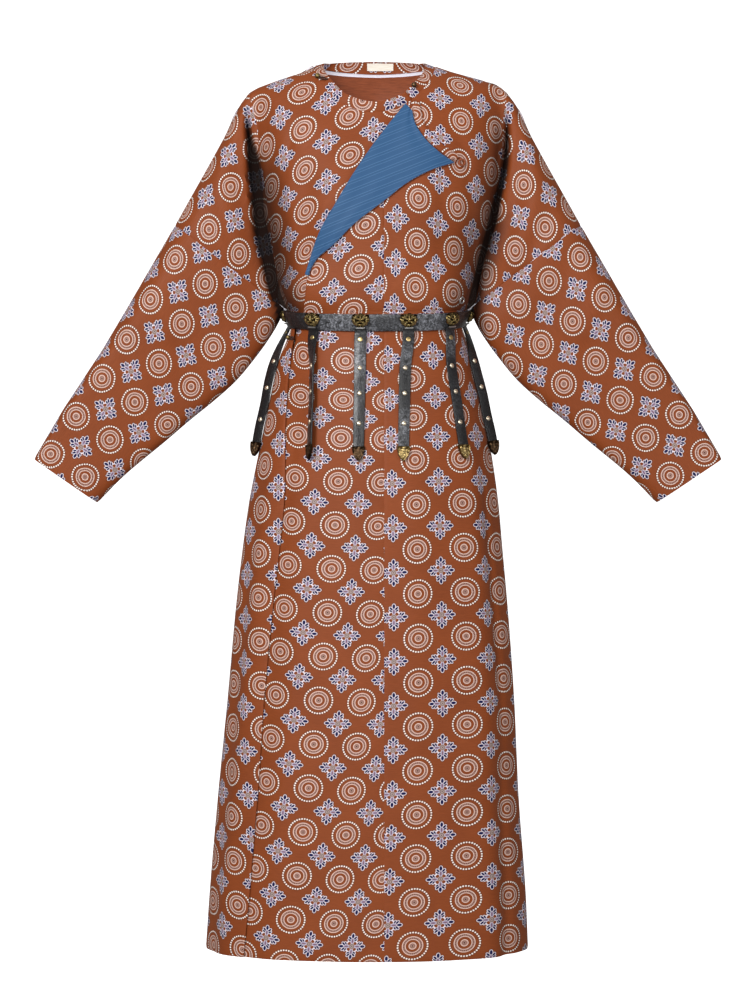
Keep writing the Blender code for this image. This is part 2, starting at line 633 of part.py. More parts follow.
def inner_overlap_sheet(right_front, right_skirt):
    """Wearer's left of the inner front, hidden under the outer one, down to the hem."""
    across = np.linspace(0, 1, INNER_COLUMNS + 1)
    top = neck_seam(np.linspace(0.5, INNER_TURN, INNER_COLUMNS + 1))
    inner = right_front[:, 0][:, [0, 2]]
    top[0] = inner[0]
    ends = ring_turn(WAIST, CENTRE_SEAM_INNER), ring_turn(WAIST, INNER_EDGE["x"][3])
    waist = ring_point(WAIST, np.linspace(*ends, INNER_COLUMNS + 1))
    xs = (top[-1][0],) + INNER_EDGE["x"][1:3] + (waist[-1][0],)
    zs = (top[-1][1],) + INNER_EDGE["z"][1:3] + (waist[-1][2],)
    flat = patch(inner, along(xs, zs, rows_eased(BODY_ROWS)), top, waist[:, [0, 2]], across, rows_eased(BODY_ROWS))
    above = front_point(flat[..., 0], flat[..., 1])
    above[-1] = waist
    above[:, 0] = right_front[:, 0]
    rows = [above[-1]]
    for k, level in enumerate(SKIRT_LEVELS[1:], 1):
        end = ring_turn(level, through(INNER_EDGE["z"], INNER_EDGE["x"], level))
        row = ring_point(level, np.linspace(ring_turn(level, CENTRE_SEAM_INNER), end, INNER_COLUMNS + 1))
        row[0] = right_skirt[k, 0]
        rows.append(row)
    sheet = Sheet()
    sheet.add_grid(above)
    sheet.add_grid(np.array(rows))
    return sheet, above


def side_lap_sheet():
    """Side panel that laps forward over the front below the belt on the wearer's right."""
    rows = []
    for level in (LAP_TOP,) + SKIRT_LEVELS[3:]:
        turns = np.linspace(LAP_TURN, ring_turn(level, through(LAP_EDGE["z"], LAP_EDGE["x"], level)), LAP_COLUMNS + 1)
        rows.append(ring_point(level, turns, ring_lap_lift(level, turns)))
    return Sheet().add_grid(np.array(rows))


def collar_grid(inner, right_front, right_back, left_back, left_front):
    """Collar strip from its inner end over the front, round the wearer's right and the back, to the lapel."""
    count = NECK_COLUMNS
    front_turns = np.linspace(0.5, SHOULDER_TURN, count + 1)
    back_turns = np.linspace(180, SHOULDER_TURN, count + 1)
    left_turns = np.linspace(LAPEL_TURN, SHOULDER_TURN, count - LAPEL_COLUMNS + 1)
    seam = np.concatenate([inner[0, ::-1], right_front[0, 1:count + 1], right_back[0, count - 1::-1],
                           left_back[0, 1:count + 1], left_front[0, count - 1:LAPEL_COLUMNS - 1:-1]])
    turns = np.concatenate([np.linspace(0.5, INNER_TURN, INNER_COLUMNS + 1)[::-1], -front_turns[1:],
                            -back_turns[count - 1::-1], back_turns[1:], left_turns[-2::-1]])
    lift = np.zeros(len(turns))
    last = len(left_turns) - 1
    lift[-last:] = outer_lift(seam[-last:, 0], seam[-last:, 2])
    x = through(NECK["turn"], NECK["edge_x"], np.abs(turns)) * np.sign(turns)
    x = x + NECK_SHIFT * (np.abs(turns) < 179)
    y = through(NECK["turn"], NECK["edge_y"], np.abs(turns)) - lift
    edge = np.stack([x, y, through(NECK["turn"], NECK["edge_z"], np.abs(turns))], axis=-1)
    return np.stack([edge, (edge + seam) / 2, seam])


def sheet_of(grid, flip=False):
    return Sheet().add_grid(grid, flip)


def moved_in(grid, sums, distance):
    """Grid points moved in along the normals of the sheets that they lie on."""
    out = grid.copy()
    for r, c in np.ndindex(grid.shape[:2]):
        normal = sums[tuple(np.round(grid[r, c], 1) + 0.0)]
        out[r, c] -= normal / np.linalg.norm(normal) * distance
    return out


def lapel_curves():
    """Fold and free edge of the turned-out corner, from the collar to the closing edge."""
    neck = np.linspace(0, 1, LAPEL["neck_rows"] + 1)
    front = np.linspace(0, 1, LAPEL["front_rows"] + 1)[1:]
    free = np.concatenate([along(LAPEL_NECK["x"], LAPEL_NECK["z"], neck),
                           along(LAPEL_FRONT["x"], LAPEL_FRONT["z"], front)])
    run = np.concatenate([[0], np.cumsum(np.linalg.norm(np.diff(free, axis=0), axis=1))])
    xs = (LAPEL["top"][0],) + LAPEL_FOLD["x"][1:]
    zs = (LAPEL["top"][1],) + LAPEL_FOLD["z"][1:]
    return along(xs, zs, run / run[-1]), free


def lapel_grid(height, curl):
    """Flap over the outer front; its cloth curls over from behind the fold."""
    fold, free = lapel_curves()
    free = free.copy()
    free[-1] = fold[-1] + (3, 1.5)
    across = np.linspace(0, 1, LAPEL["columns"] + 1)
    tangent = np.gradient(fold, axis=0)
    away = np.stack([tangent[:, 1], -tangent[:, 0]], axis=-1)
    away /= -np.linalg.norm(away, axis=1)[:, None]
    away *= np.sign((away * (fold - free)).sum(1) + 1e-9)[:, None]
    middle = (LAPEL["turned"] - LAPEL["thick"]) / 2
    columns = []
    for angle in curl:
        reach = LAPEL["part"] + (height - middle) * math.sin(math.radians(angle))
        spot = fold + away * reach
        lift = middle - (height - middle) * math.cos(math.radians(angle))
        columns.append(front_point(fold[:, 0], fold[:, 1], outer_lift(fold[:, 0], fold[:, 1]) + lift))
        columns[-1][:, [0, 2]] = spot
    for share in across[1:]:
        spot = fold + (free - fold) * share
        columns.append(front_point(spot[:, 0], spot[:, 1], outer_lift(spot[:, 0], spot[:, 1]) + height))
    return np.stack(columns, axis=1)


def lapel_band_grid():
    """Collar strip along the concave edge of the turned-out corner."""
    xs, zs = (50,) + LAPEL_NECK["x"], (-52,) + LAPEL_NECK["z"]
    inner = along(xs, zs, np.linspace(0, 1, LAPEL["neck_rows"] + 3))
    tangent = np.gradient(inner, axis=0)
    away = np.stack([-tangent[:, 1], tangent[:, 0]], axis=-1)
    away /= np.linalg.norm(away, axis=1)[:, None]
    start = inner + away * 1.4
    end = inner + away * LAPEL["band_width"]
    spots = np.stack([start, (start + end) / 2, end], axis=1)
    return front_point(spots[..., 0], spots[..., 1], outer_lift(spots[..., 0], spots[..., 1]) + LAPEL["band"])


def belt_point(level, turn, lift):
    """Belt face: flared like the cloth under it, straight over its height."""
    top = ring_point(BELT["top"], turn, outermost_lift(BELT["top"], turn) + lift)
    bottom = ring_point(BELT["bottom"], turn, outermost_lift(BELT["bottom"], turn) + lift)
    return top + (bottom - top) * (BELT["top"] - level) / (BELT["top"] - BELT["bottom"])


def belt_grid():
    quarter = body_turns()
    half = np.concatenate([quarter, 180 - quarter[::-1][1:]])
    turns = np.concatenate([-half[::-1], half[1:]])
    lift = BELT["clear"] + BELT["thick"]
    top, bottom = belt_point(BELT["top"], turns, lift), belt_point(BELT["bottom"], turns, lift)
    top[0], bottom[0] = top[-1], bottom[-1]
    return np.stack([top, (top + bottom) / 2, bottom])


def frame_at(point, level, turn, lift):
    """Place with its right, up and outward directions on a ring of the body."""
    centre = point(level, turn, lift)
    right = point(level, turn + 2, lift) - point(level, turn - 2, lift)
    up = point(level + 6, turn, lift) - point(level - 6, turn, lift)
    out = np.cross(right, up)
    right, out = right / np.linalg.norm(right), out / np.linalg.norm(out)
    return centre, right, np.cross(out, right), out


def ringed(name, frame, rings, colour):
    """Closed solid through rings of local right, up, outward places, both ends closed to their middle."""
    centre, right, up, out = frame
    points, faces = [], []
    count = len(rings[0])
    for ring in rings:
        points += [centre + a * right + b * up + h * out for a, b, h in ring]
    for r in range(len(rings) - 1):
        for k in range(count):
            low, high = r * count, (r + 1) * count
            faces.append([low + k, low + (k + 1) % count, high + (k + 1) % count, high + k])
    for start, turn in ((0, -1), ((len(rings) - 1) * count, 1)):
        points.append(np.mean(points[start:start + count], axis=0))
        for k in range(count):
            faces.append([start + k, start + (k + 1) % count, len(points) - 1][::turn])
    mesh = bpy.data.meshes.new(name)
    mesh.from_pydata([tuple(p * MM) for p in points], [], faces)
    return finish(name, mesh, colour)


def plaque_rings(outline, rings):
    return [[(a * share, rings["middle"] + (b - rings["middle"]) * share, height)
             for a, b in zip(outline["right"], outline["up"])]
            for share, height in zip(rings["share"], rings["height"])]


def ball(name, frame, radius, stand):
    """Ball button that stands off the place given."""
    rings = []
    turns = np.linspace(0, 2 * math.pi, BUTTON["sides"], endpoint=False)
    for tall in range(-75, 76, 25):
        flat = radius * math.cos(math.radians(tall))
        height = radius + stand + radius * math.sin(math.radians(tall))
        rings.append([(flat * math.cos(turn), flat * math.sin(turn), height) for turn in turns])
    return ringed(name, frame, rings, "brass")


def loop_of_cord(name, frame, radius, cord, colour):
    """Torus lying on the place given."""
    centre, right, up, out = frame
    long_count, short_count = 14, 6
    points, faces = [], []
    for k in range(long_count):
        angle = 2 * math.pi * k / long_count
        spoke = math.cos(angle) * right + math.sin(angle) * up
        for m in range(short_count):
            around = 2 * math.pi * m / short_count
            reach, height = radius + cord * math.cos(around), cord + BOSS_CLEAR + cord * math.sin(around)
            points.append(centre + spoke * reach + out * height)
            here, after, beside = k * short_count, (k + 1) % long_count * short_count, (m + 1) % short_count
            faces.append([here + m, after + m, after + beside, here + beside])
    mesh = bpy.data.meshes.new(name)
    mesh.from_pydata([tuple(p * MM) for p in points], [], faces)
    return finish(name, mesh, colour)


def front_frame(x, z):
    """Frame on the cloth of the front above the waist, on the outer layer at the wearer's left."""
    def spot(dx, dz):
        lift = outer_lift(x + dx, z + dz) if x > 0 else 0.0
        return front_point(np.array(x + dx, float), np.array(z + dz, float), lift)
    right, up = spot(2, 0) - spot(-2, 0), spot(0, 2) - spot(0, -2)
    out = np.cross(right, up)
    right, out = right / np.linalg.norm(right), out / np.linalg.norm(out)
    return spot(0, 0), right, np.cross(out, right), out


def outer_cloth(level, turn, lift):
    return ring_point(level, turn, outermost_lift(level, turn) + lift)


def strap_frame(level, turn):
    """Frame of the strap's outer face, just clear of the outermost cloth over its whole width."""
    centre, right, up, out = frame_at(outer_cloth, level, turn, 0.0)
    beside = outer_cloth(level, turn + np.linspace(-6, 6, 9), 0.0) - centre
    high = float(max(0.0, (beside @ out).max()))
    return centre + out * (high + STRAP_CLEAR + STRAP_THICK), right, up, out


def strap_line(k, boss):
    """Middle of a hanging strap: frames down its length, from the bar of its boss onto the outermost cloth."""
    frames = []
    hung = boss[0] + boss[2] * STRAP_HANG["below"] + boss[3] * STRAP_HANG["out"]
    for level in np.linspace(STRAP_TOP, STRAP["end_level"][k], STRAP_ROWS + 1):
        share = (STRAP_TOP - level) / (STRAP_TOP - STRAP["end_level"][k])
        x = STRAP["top_x"][k] + (STRAP["tip_x"][k] - STRAP["top_x"][k]) * share
        turn = float(np.clip(ring_turn(level, x), -88, 88))
        angle = STRAP["twist"][k] * float(ease(-0.05, 0.35, share))
        extra = abs(math.sin(math.radians(angle))) * STRAP_WIDTH / 2
        centre, right, up, out = strap_frame(level, turn)
        centre = centre + out * extra
        if not frames:
            drop = hung - centre
        centre = centre + drop * (1 - ease(0, STRAP_HANG["fade"], share))
        right = right * math.cos(math.radians(angle)) + out * math.sin(math.radians(angle))
        frames.append((centre, right, up, np.cross(right, up)))
    return frames


def make_belt():
    grid = belt_grid()
    sheet = sheet_of(grid)
    wall("belt", sheet, shared_normals([sheet]), BELT["thick"], "leather")
    for k, x in enumerate(STRAP["belt_x"]):
        middle = (BELT["top"] + BELT["bottom"]) / 2
        turn = float(np.clip(ring_turn(middle, x), -90, 90))
        frame = frame_at(belt_point, middle, turn, BELT["clear"] + BELT["thick"] + BOSS_CLEAR)
        ringed("boss_%d" % (k + 1), frame, plaque_rings(BOSS_OUTLINE, BOSS_RINGS), "brass")
        frames = strap_line(k, frame)
        rows = [[f[0] + f[1] * side * STRAP_WIDTH / 2 for side in (-1, 0, 1)] for f in frames]
        strap = sheet_of(np.array(rows))
        wall("strap_%d" % (k + 1), strap, shared_normals([strap]), STRAP_THICK, "leather")
        centre, right, up, out = frames[-1]
        down = frames[-1][0] - frames[-2][0]
        down = down / np.linalg.norm(down)
        out = np.cross(right, -down)
        tip = (centre + down * BOSS_CLEAR, right, -down, out / np.linalg.norm(out))
        ringed("strap_tip_%d" % (k + 1), tip, plaque_rings(TIP_OUTLINE, TIP_RINGS), "brass")


def main():
    clear_scene()
    right, right_front, right_back, right_skirt = body_sheet("right")
    left, left_front, left_back, left_skirt = body_sheet("left")
    sleeve_right = sleeve_sheet("right", right_front, right_back)
    sleeve_left = sleeve_sheet("left", left_front, left_back)
    overlap = front_overlap_sheet(left_front, left_skirt)
    inner, inner_above = inner_overlap_sheet(right_front, right_skirt)
    collar = collar_grid(inner_above, right_front, right_back, left_back, left_front)
    collar_sheet = sheet_of(collar, True)
    sums = shared_normals([right, left, sleeve_right, sleeve_left, overlap, inner, collar_sheet])
    wall("body_right", right, sums, CLOTH, "robe")
    wall("body_left", left, sums, CLOTH, "robe")
    wall("sleeve_right", sleeve_right, sums, CLOTH, "robe", WIDE_SEAM)
    wall("sleeve_left", sleeve_left, sums, CLOTH, "robe", WIDE_SEAM)
    wall("front_overlap", overlap, sums, CLOTH, "robe")
    wall("inner_overlap", inner, sums, CLOTH, "robe")
    wall("collar_band", collar_sheet, sums, COLLAR_THICK, "collar", WIDE_SEAM)
    lap = side_lap_sheet()
    wall("side_lap", lap, shared_normals([lap]), CLOTH, "robe")

    turned = sheet_of(lapel_grid(LAPEL["turned"], CURL + CURL_FACING))
    wall("lapel_turned", turned, shared_normals([turned]), LAPEL["thick"], "robe")
    facing = sheet_of(lapel_grid(LAPEL["facing"], CURL_FACING))
    wall("lapel_facing", facing, shared_normals([facing]), LAPEL["facing_thick"], "blue")
    band = sheet_of(lapel_band_grid())
    wall("lapel_band", band, shared_normals([band]), LAPEL["band_thick"], "collar")

    rows, columns = LINING["rows"], LINING["columns"]
    back = np.concatenate([right_back[1:rows, columns:0:-1], left_back[1:rows, :columns + 1]], axis=1)
    lining = sheet_of(moved_in(back, sums, LINING["inset"]), True)
    wall("neck_lining", lining, shared_normals([lining]), LINING["thick"], "white")
    make_label(collar, sums)
    make_fastenings(collar)
    make_belt()


def make_label(collar, sums):
    """Blank woven label on the inside of the collar strip at the back."""
    inside = moved_in(collar, sums, COLLAR_THICK + SEAM)
    middle = NECK_COLUMNS * 2 + INNER_COLUMNS
    back = inside[:, middle - 2:middle + 3]
    order = np.argsort(back[0, :, 0])
    rows = []
    for share in np.linspace(*LABEL["shares"], 3)[::-1]:
        low = back[2] + (back[0] - back[2]) * share
        xs = np.linspace(*LABEL["x"], 5)
        ys, zs = (np.interp(xs, low[order, 0], low[order, k]) for k in (1, 2))
        rows.append(np.stack([xs, ys, zs], axis=-1))
    sheet = sheet_of(np.array(rows), True)
    wall("label", sheet, shared_normals([sheet]), LABEL["thick"], "label")


def make_fastenings(collar):
    shoulder = front_frame(NECK_BUTTON["x"], NECK_BUTTON["z"])
    ball("neck_button_right", shoulder, BUTTON["neck"], BUTTON["stand_on_curve"])
    edge, seam = collar[0, -2], collar[2, -2]
    up = edge - seam
    right = collar[1, -3] - collar[1, -1]
    out = np.cross(right, up)
    right, out = right / np.linalg.norm(right), out / np.linalg.norm(out)
    ball("neck_button_left", (seam + up * 0.8, right, np.cross(out, right), out), BUTTON["neck"], BUTTON["stand"])
    level = HIP_BUTTON["level"]
    turn = float(ring_turn(level, HIP_BUTTON["x"]))
    frame = frame_at(ring_point, level, turn, float(ring_lap_lift(level, turn)))
    ball("hip_button", frame, BUTTON["hip"], BUTTON["stand"])
    for name, ring, colour in (("lapel_loop", CORNER_LOOP, "collar"), ("belt_ring", BELT_RING, "silver")):
        loop_of_cord(name, front_frame(ring["x"], ring["z"]), ring["radius"], ring["cord"], colour)


main()
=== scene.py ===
# Round-collar robe with its belt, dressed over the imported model. Lengths in the tables are millimetres.
import json
import math

import bpy
import numpy as np
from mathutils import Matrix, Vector

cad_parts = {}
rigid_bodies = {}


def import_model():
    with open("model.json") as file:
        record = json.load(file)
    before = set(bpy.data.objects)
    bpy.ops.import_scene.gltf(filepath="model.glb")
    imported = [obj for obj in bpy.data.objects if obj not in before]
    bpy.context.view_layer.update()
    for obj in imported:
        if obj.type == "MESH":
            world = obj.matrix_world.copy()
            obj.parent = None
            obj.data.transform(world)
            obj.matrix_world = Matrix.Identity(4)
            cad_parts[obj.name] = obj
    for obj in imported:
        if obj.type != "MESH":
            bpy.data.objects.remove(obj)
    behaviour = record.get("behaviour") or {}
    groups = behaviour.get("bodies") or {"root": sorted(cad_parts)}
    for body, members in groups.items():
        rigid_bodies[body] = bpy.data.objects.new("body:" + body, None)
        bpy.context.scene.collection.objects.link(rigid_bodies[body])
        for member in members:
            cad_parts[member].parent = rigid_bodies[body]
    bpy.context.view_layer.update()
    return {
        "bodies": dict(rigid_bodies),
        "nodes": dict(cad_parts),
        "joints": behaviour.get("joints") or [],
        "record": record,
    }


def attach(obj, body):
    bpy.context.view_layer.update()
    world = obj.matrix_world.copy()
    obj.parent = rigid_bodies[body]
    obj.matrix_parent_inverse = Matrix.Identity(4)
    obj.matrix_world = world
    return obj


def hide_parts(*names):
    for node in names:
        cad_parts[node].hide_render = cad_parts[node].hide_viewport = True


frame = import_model()

# The worn form: half widths at the side folds and half depths at each height
bodyForm = {
    "z": (20, -39, -99, -159, -219, -279, -352, -359, -372, -399, -429, -489, -564, -639, -706, -782, -932,
          -1082, -1232, -1305),
    "right": (186, 186, 181, 172, 164, 153, 138, 130, 125, 132, 142, 155, 170, 184, 193, 202, 216, 231, 244,
              249),
    "left": (187, 189, 191, 186, 177, 162, 139, 131, 127, 134, 142, 156, 170, 180, 186, 193, 204, 211, 222,
             225),
    "front": (104, 104, 108, 112, 110, 105, 99, 96, 94, 98, 102, 108, 116, 122, 126, 130, 137, 144, 150, 153),
    "back": (80, 82, 88, 92, 90, 84, 80, 77, 75, 82, 92, 106, 116, 122, 125, 129, 136, 142, 148, 150),
}
topFold = {  # shoulder and upper edge of the sleeve, neck to cuff
    "z": (12, 3, -9, -21, -29, -45, -99, -228, -414, -504, -577),
    "right": (90, 112, 147, 178, 192, 204, 231, 303, 412, 471, 514),
    "left": (88, 114, 156, 186, 195, 207, 234, 306, 415, 474, 517),
}
underFold = {  # lower edge of the sleeve, underarm to cuff
    "z": (-352, -376, -399, -429, -459, -489, -519, -549, -609, -643),
    "x": (138.5, 149, 163, 185, 210, 243, 280, 315, 386, 419),
}
sleeveSeam = {"x": (304, 240, 186, 138.5), "z": (-228, -277, -317, -352)}
neckLine = {  # seam and free edge of the collar strip, front centre to back centre
    "turn": (0, 15, 30, 45, 60, 75, 100, 125, 150, 180),
    "seamX": (0, 18, 38, 56, 72, 84, 90, 76, 44, 0),
    "seamZ": (-67, -64, -57, -46, -30, -10, 12, 11, 10, 10),
    "edgeX": (0, 15, 32, 47, 60, 71, 76, 66, 38, 0),
    "edgeY": (-66, -64, -60, -53, -42, -24, 10, 37, 52, 58),
    "edgeZ": (-51, -49, -43, -34, -19, -3, 17, 22, 26, 28),
    "shift": -4,
}
form = {
    "square": 2.3, "softSide": 0.35, "neckHump": 54, "shoulderTurn": 100, "shoulderBack": 8, "waist": -352,
    "tilt": 0.143, "outerLift": 5.5, "lapLift": 9.6, "neckSpread": 14, "lapelTurn": 45,
    "innerTurn": 50, "lapTurn": -100, "lapTop": -371, "innerSeam": -3, "outerSeam": 10, "crossing": -102.8,
    "neckFront": 25, "shoulderFront": 38, "backRound": 30, "sleeveRound": 40, "underRound": 12,
    "valleyDeep": 22, "armDeep": 50, "cuffShare": 0.42, "cloth": 1.4,
}
lapelFold = {"x": (52, 19, -22, -55, -80, -102), "z": (-66, -90, -148, -203, -246, -309)}
lapelNeck = {"x": (52, 55, 69, 94, 114), "z": (-66, -82, -106, -130, -143)}
lapelFront = {"x": (114, 80, 48, 8, -32, -66, -90, -102),
              "z": (-143, -155, -172, -203, -234, -267, -287, -309)}
closingEdge = {"z": (-309, -335, -366, -400, -639, -1305), "x": (-102, -106, -107, -118, -150, -222)}
innerEdge = {"z": (-40, -90, -160, -360, -1305), "x": (64, 78, 96, 84, 128)}
lapEdge = {"z": (-366, -380, -420, -470, -639, -782, -932, -1082, -1232, -1305),
           "x": (-117, -118, -121, -125, -131, -146, -160, -170, -181, -188)}
broadFolds = {  # the main forms that the solids have too
    "side": ("front", "front", "front", "front", "back", "back", "back"),
    "x1": (-168, -150, 172, 150, -160, 165, -60), "z1": (-120, -90, -90, -110, -110, -100, -240),
    "x2": (-140, -120, 150, 148, -135, 138, -50), "z2": (-330, -290, -300, -220, -320, -310, -340),
    "width": (10, 14, 10, 14, 14, 12, 16), "height": (5, 5, 5, 4, 6, 5, 4),
}


def ease(low, high, value):
    share = np.clip((np.asarray(value, float) - low) / (high - low), 0, 1)
    return share * share * (3 - 2 * share)


def through(knots, values, at):  # smooth curve through table rows
    knots, values = np.asarray(knots, float), np.asarray(values, float)
    if knots[0] > knots[-1]:
        knots, values = knots[::-1], values[::-1]
    slopes = np.gradient(values, knots)
    at = np.clip(np.asarray(at, float), knots[0], knots[-1])
    low = np.clip(np.searchsorted(knots, at) - 1, 0, len(knots) - 2)
    span = knots[low + 1] - knots[low]
    f = (at - knots[low]) / span
    rise = span * (f * (1 - f) ** 2 * slopes[low] - f * f * (1 - f) * slopes[low + 1])
    return (1 + 2 * f) * (1 - f) ** 2 * values[low] + f * f * (3 - 2 * f) * values[low + 1] + rise


def along(xs, zs, shares):  # points at shares of the length of a curve in the front view
    xs, zs = np.asarray(xs, float), np.asarray(zs, float)
    run = np.concatenate([[0], np.cumsum(np.hypot(np.diff(xs), np.diff(zs)))])
    at = np.asarray(shares, float) * run[-1]
    return np.stack([through(run, xs, at), through(run, zs, at)], axis=-1)


def nearest(points, x, z):  # distance to a run of points, and the share of the run where it is nearest
    spot = np.stack([x, z], axis=-1)[..., None, :]
    start, run = points[:-1], points[1:] - points[:-1]
    share = np.clip(((spot - start) * run).sum(-1) / (run * run).sum(-1), 0, 1)
    away = np.linalg.norm(spot - (start + share[..., None] * run), axis=-1)
    best = away.argmin(-1)[..., None]
    place = (best + np.take_along_axis(share, best, -1)) / len(run)
    return np.take_along_axis(away, best, -1)[..., 0], place[..., 0]


def topLine(side):
    overNeck = [(x, 12 + form["neckHump"] * (1 - (x / 90) ** 2)) for x in range(0, 90, 10)]
    return np.array(overNeck + list(zip(topFold[side], topFold["z"])), float)


def halfWidth(side, level):
    return through(bodyForm["z"], bodyForm[side], level)


def beltTilt(level):
    return form["tilt"] * ease(-250, -345, level) * ease(-560, -410, level)


def depth(x, z, face):  # from the shoulder plane to the front or the back cloth, above the waist
    x, z = np.broadcast_arrays(np.asarray(x, float), np.asarray(z, float))
    result = np.zeros(x.shape)
    broad = np.zeros(x.shape)
    for k, side in enumerate(broadFolds["side"]):
        if side == face:
            line = np.array([(broadFolds["x1"][k], broadFolds["z1"][k]),
                             (broadFolds["x2"][k], broadFolds["z2"][k])], float)
            away = nearest(line, x, z)[0] / broadFolds["width"][k]
            broad += broadFolds["height"][k] * np.exp(-(away ** 2))
    power = 1 / form["square"]
    for side, mine in (("right", x < 0), ("left", x >= 0)):
        if not mine.any():
            continue
        ax, az = np.abs(x[mine]), z[mine]
        away = nearest(topLine(side), ax, az)[0]
        if face == "front":
            sag = form["neckFront"] + (form["shoulderFront"] - form["neckFront"]) * ease(0, 120, ax)
        else:
            sag = form["backRound"] + 0 * ax
        sag = sag + (form["sleeveRound"] - sag) * ease(180, 260, ax)
        flat = through(bodyForm["z"], bodyForm[face], az)
        reach = np.clip(1 - (ax / halfWidth(side, az)) ** form["square"], 0, 1) ** power
        level = az + beltTilt(az) * flat * reach * (1 if face == "front" else -1)
        wide = halfWidth(side, level)
        inside = np.clip(1 - (ax / wide) ** form["square"], 0, 1)
        girt = through(bodyForm["z"], bodyForm[face], level)
        torso = girt * inside ** (power + form["softSide"] * ease(-345, -290, az))
        under = np.array(list(zip(underFold["x"], underFold["z"])), float)
        arm = form["valleyDeep"] + (form["armDeep"] - form["valleyDeep"]) * ease(-10, 70, ax - wide)
        arm = arm * (1 - (1 - form["cuffShare"]) * ease(-228, -600, az)) * (1 - 0.3 * ease(60, 180, away))
        low = np.sqrt(2 * form["underRound"] * np.maximum(nearest(under, ax, az)[0], 0))
        arm = (np.maximum(arm, 1e-3) ** -4 + np.maximum(low, 1e-3) ** -4) ** (-1 / 4)
        both = (torso ** 3 + arm ** 3) ** (1 / 3)
        both = both + broad[mine] * ease(10, 40, both)
        top = np.sqrt(2 * sag * away)
        upper = (np.maximum(both, 1e-3) ** -6 + np.maximum(top, 1e-3) ** -6) ** (-1 / 6)
        girt = girt * inside ** power
        near = ease(-262, -346, level) * (1 - ease(0.8, 0.97, ax / wide))
        result[mine] = (1 - near) * upper + near * girt
    return result


def shoulderPlane(x, z):
    return form["shoulderBack"] * (1 - ease(85, 190, np.abs(x))) * ease(-420, -60, z)


def outerLift(x, z):  # how far the outer front lies over the inner one
    ax = np.asarray(x, float)
    away = np.where(ax < 0, 200, nearest(topLine("left"), np.abs(ax), np.asarray(z, float))[0])
    tight = 1 - 0.45 * ease(-300, -350, z)
    return form["outerLift"] * (1 - ease(80, 128, ax)) * ease(8, 55, away) * tight


def sheetPoint(x, z, face, lift=0.0):
    far = depth(x, z, face) + creaseDepth(x, z, face) + lift
    return np.stack([x, shoulderPlane(x, z) + (far if face == "back" else -far), z], axis=-1)


def ringPoint(level, turn, lift=0.0, plain=False):  # below the waist; turn in degrees, wearer's left positive
    turn, level = np.broadcast_arrays(np.asarray(turn, float), np.asarray(level, float))
    angle = np.radians(turn)
    power = 2 / form["square"]
    if not plain:
        lift = lift + creaseLift(level, turn)
    wide = np.where(turn < 0, halfWidth("right", level), halfWidth("left", level)) + lift
    deep = np.where(np.abs(turn) <= 90, -through(bodyForm["z"], bodyForm["front"], level) - lift,
                    through(bodyForm["z"], bodyForm["back"], level) + lift)
    x = wide * np.sign(angle) * np.abs(np.sin(angle)) ** power
    y = deep * np.abs(np.cos(angle)) ** power
    return np.stack([x, y, level + beltTilt(level) * y], axis=-1)


def ringTurn(level, x):
    x, level = np.broadcast_arrays(np.asarray(x, float), np.asarray(level, float))
    wide = np.where(x < 0, halfWidth("right", level), halfWidth("left", level))
    return np.degrees(np.arcsin(np.clip(np.abs(x) / wide, 0, 1) ** (form["square"] / 2))) * np.sign(x)


def ringOuterLift(level, turn):
    return form["outerLift"] * (1 - ease(42, 78, turn)) * (1 - 0.45 * ease(-400, -372, level))


def ringLapLift(level, turn):
    openShare = 1 - 0.36 * ease(-420, -380, level)
    return 2.2 + (form["lapLift"] * openShare - 2.2) * ease(-93, -72, turn)


def outermostLift(level, turn):
    turn, level = np.broadcast_arrays(np.asarray(turn, float), np.asarray(level, float))
    edge = ringTurn(level, through(lapEdge["z"], lapEdge["x"], level))
    lap = ringLapLift(level, turn) * ease(-116, -101, turn) * (1 - ease(edge + 2, edge + 14, turn))
    return np.maximum(np.maximum(lap * ease(-358, -369, level),
                                 ringOuterLift(level, turn) * ease(-88, -74, turn)), 0)


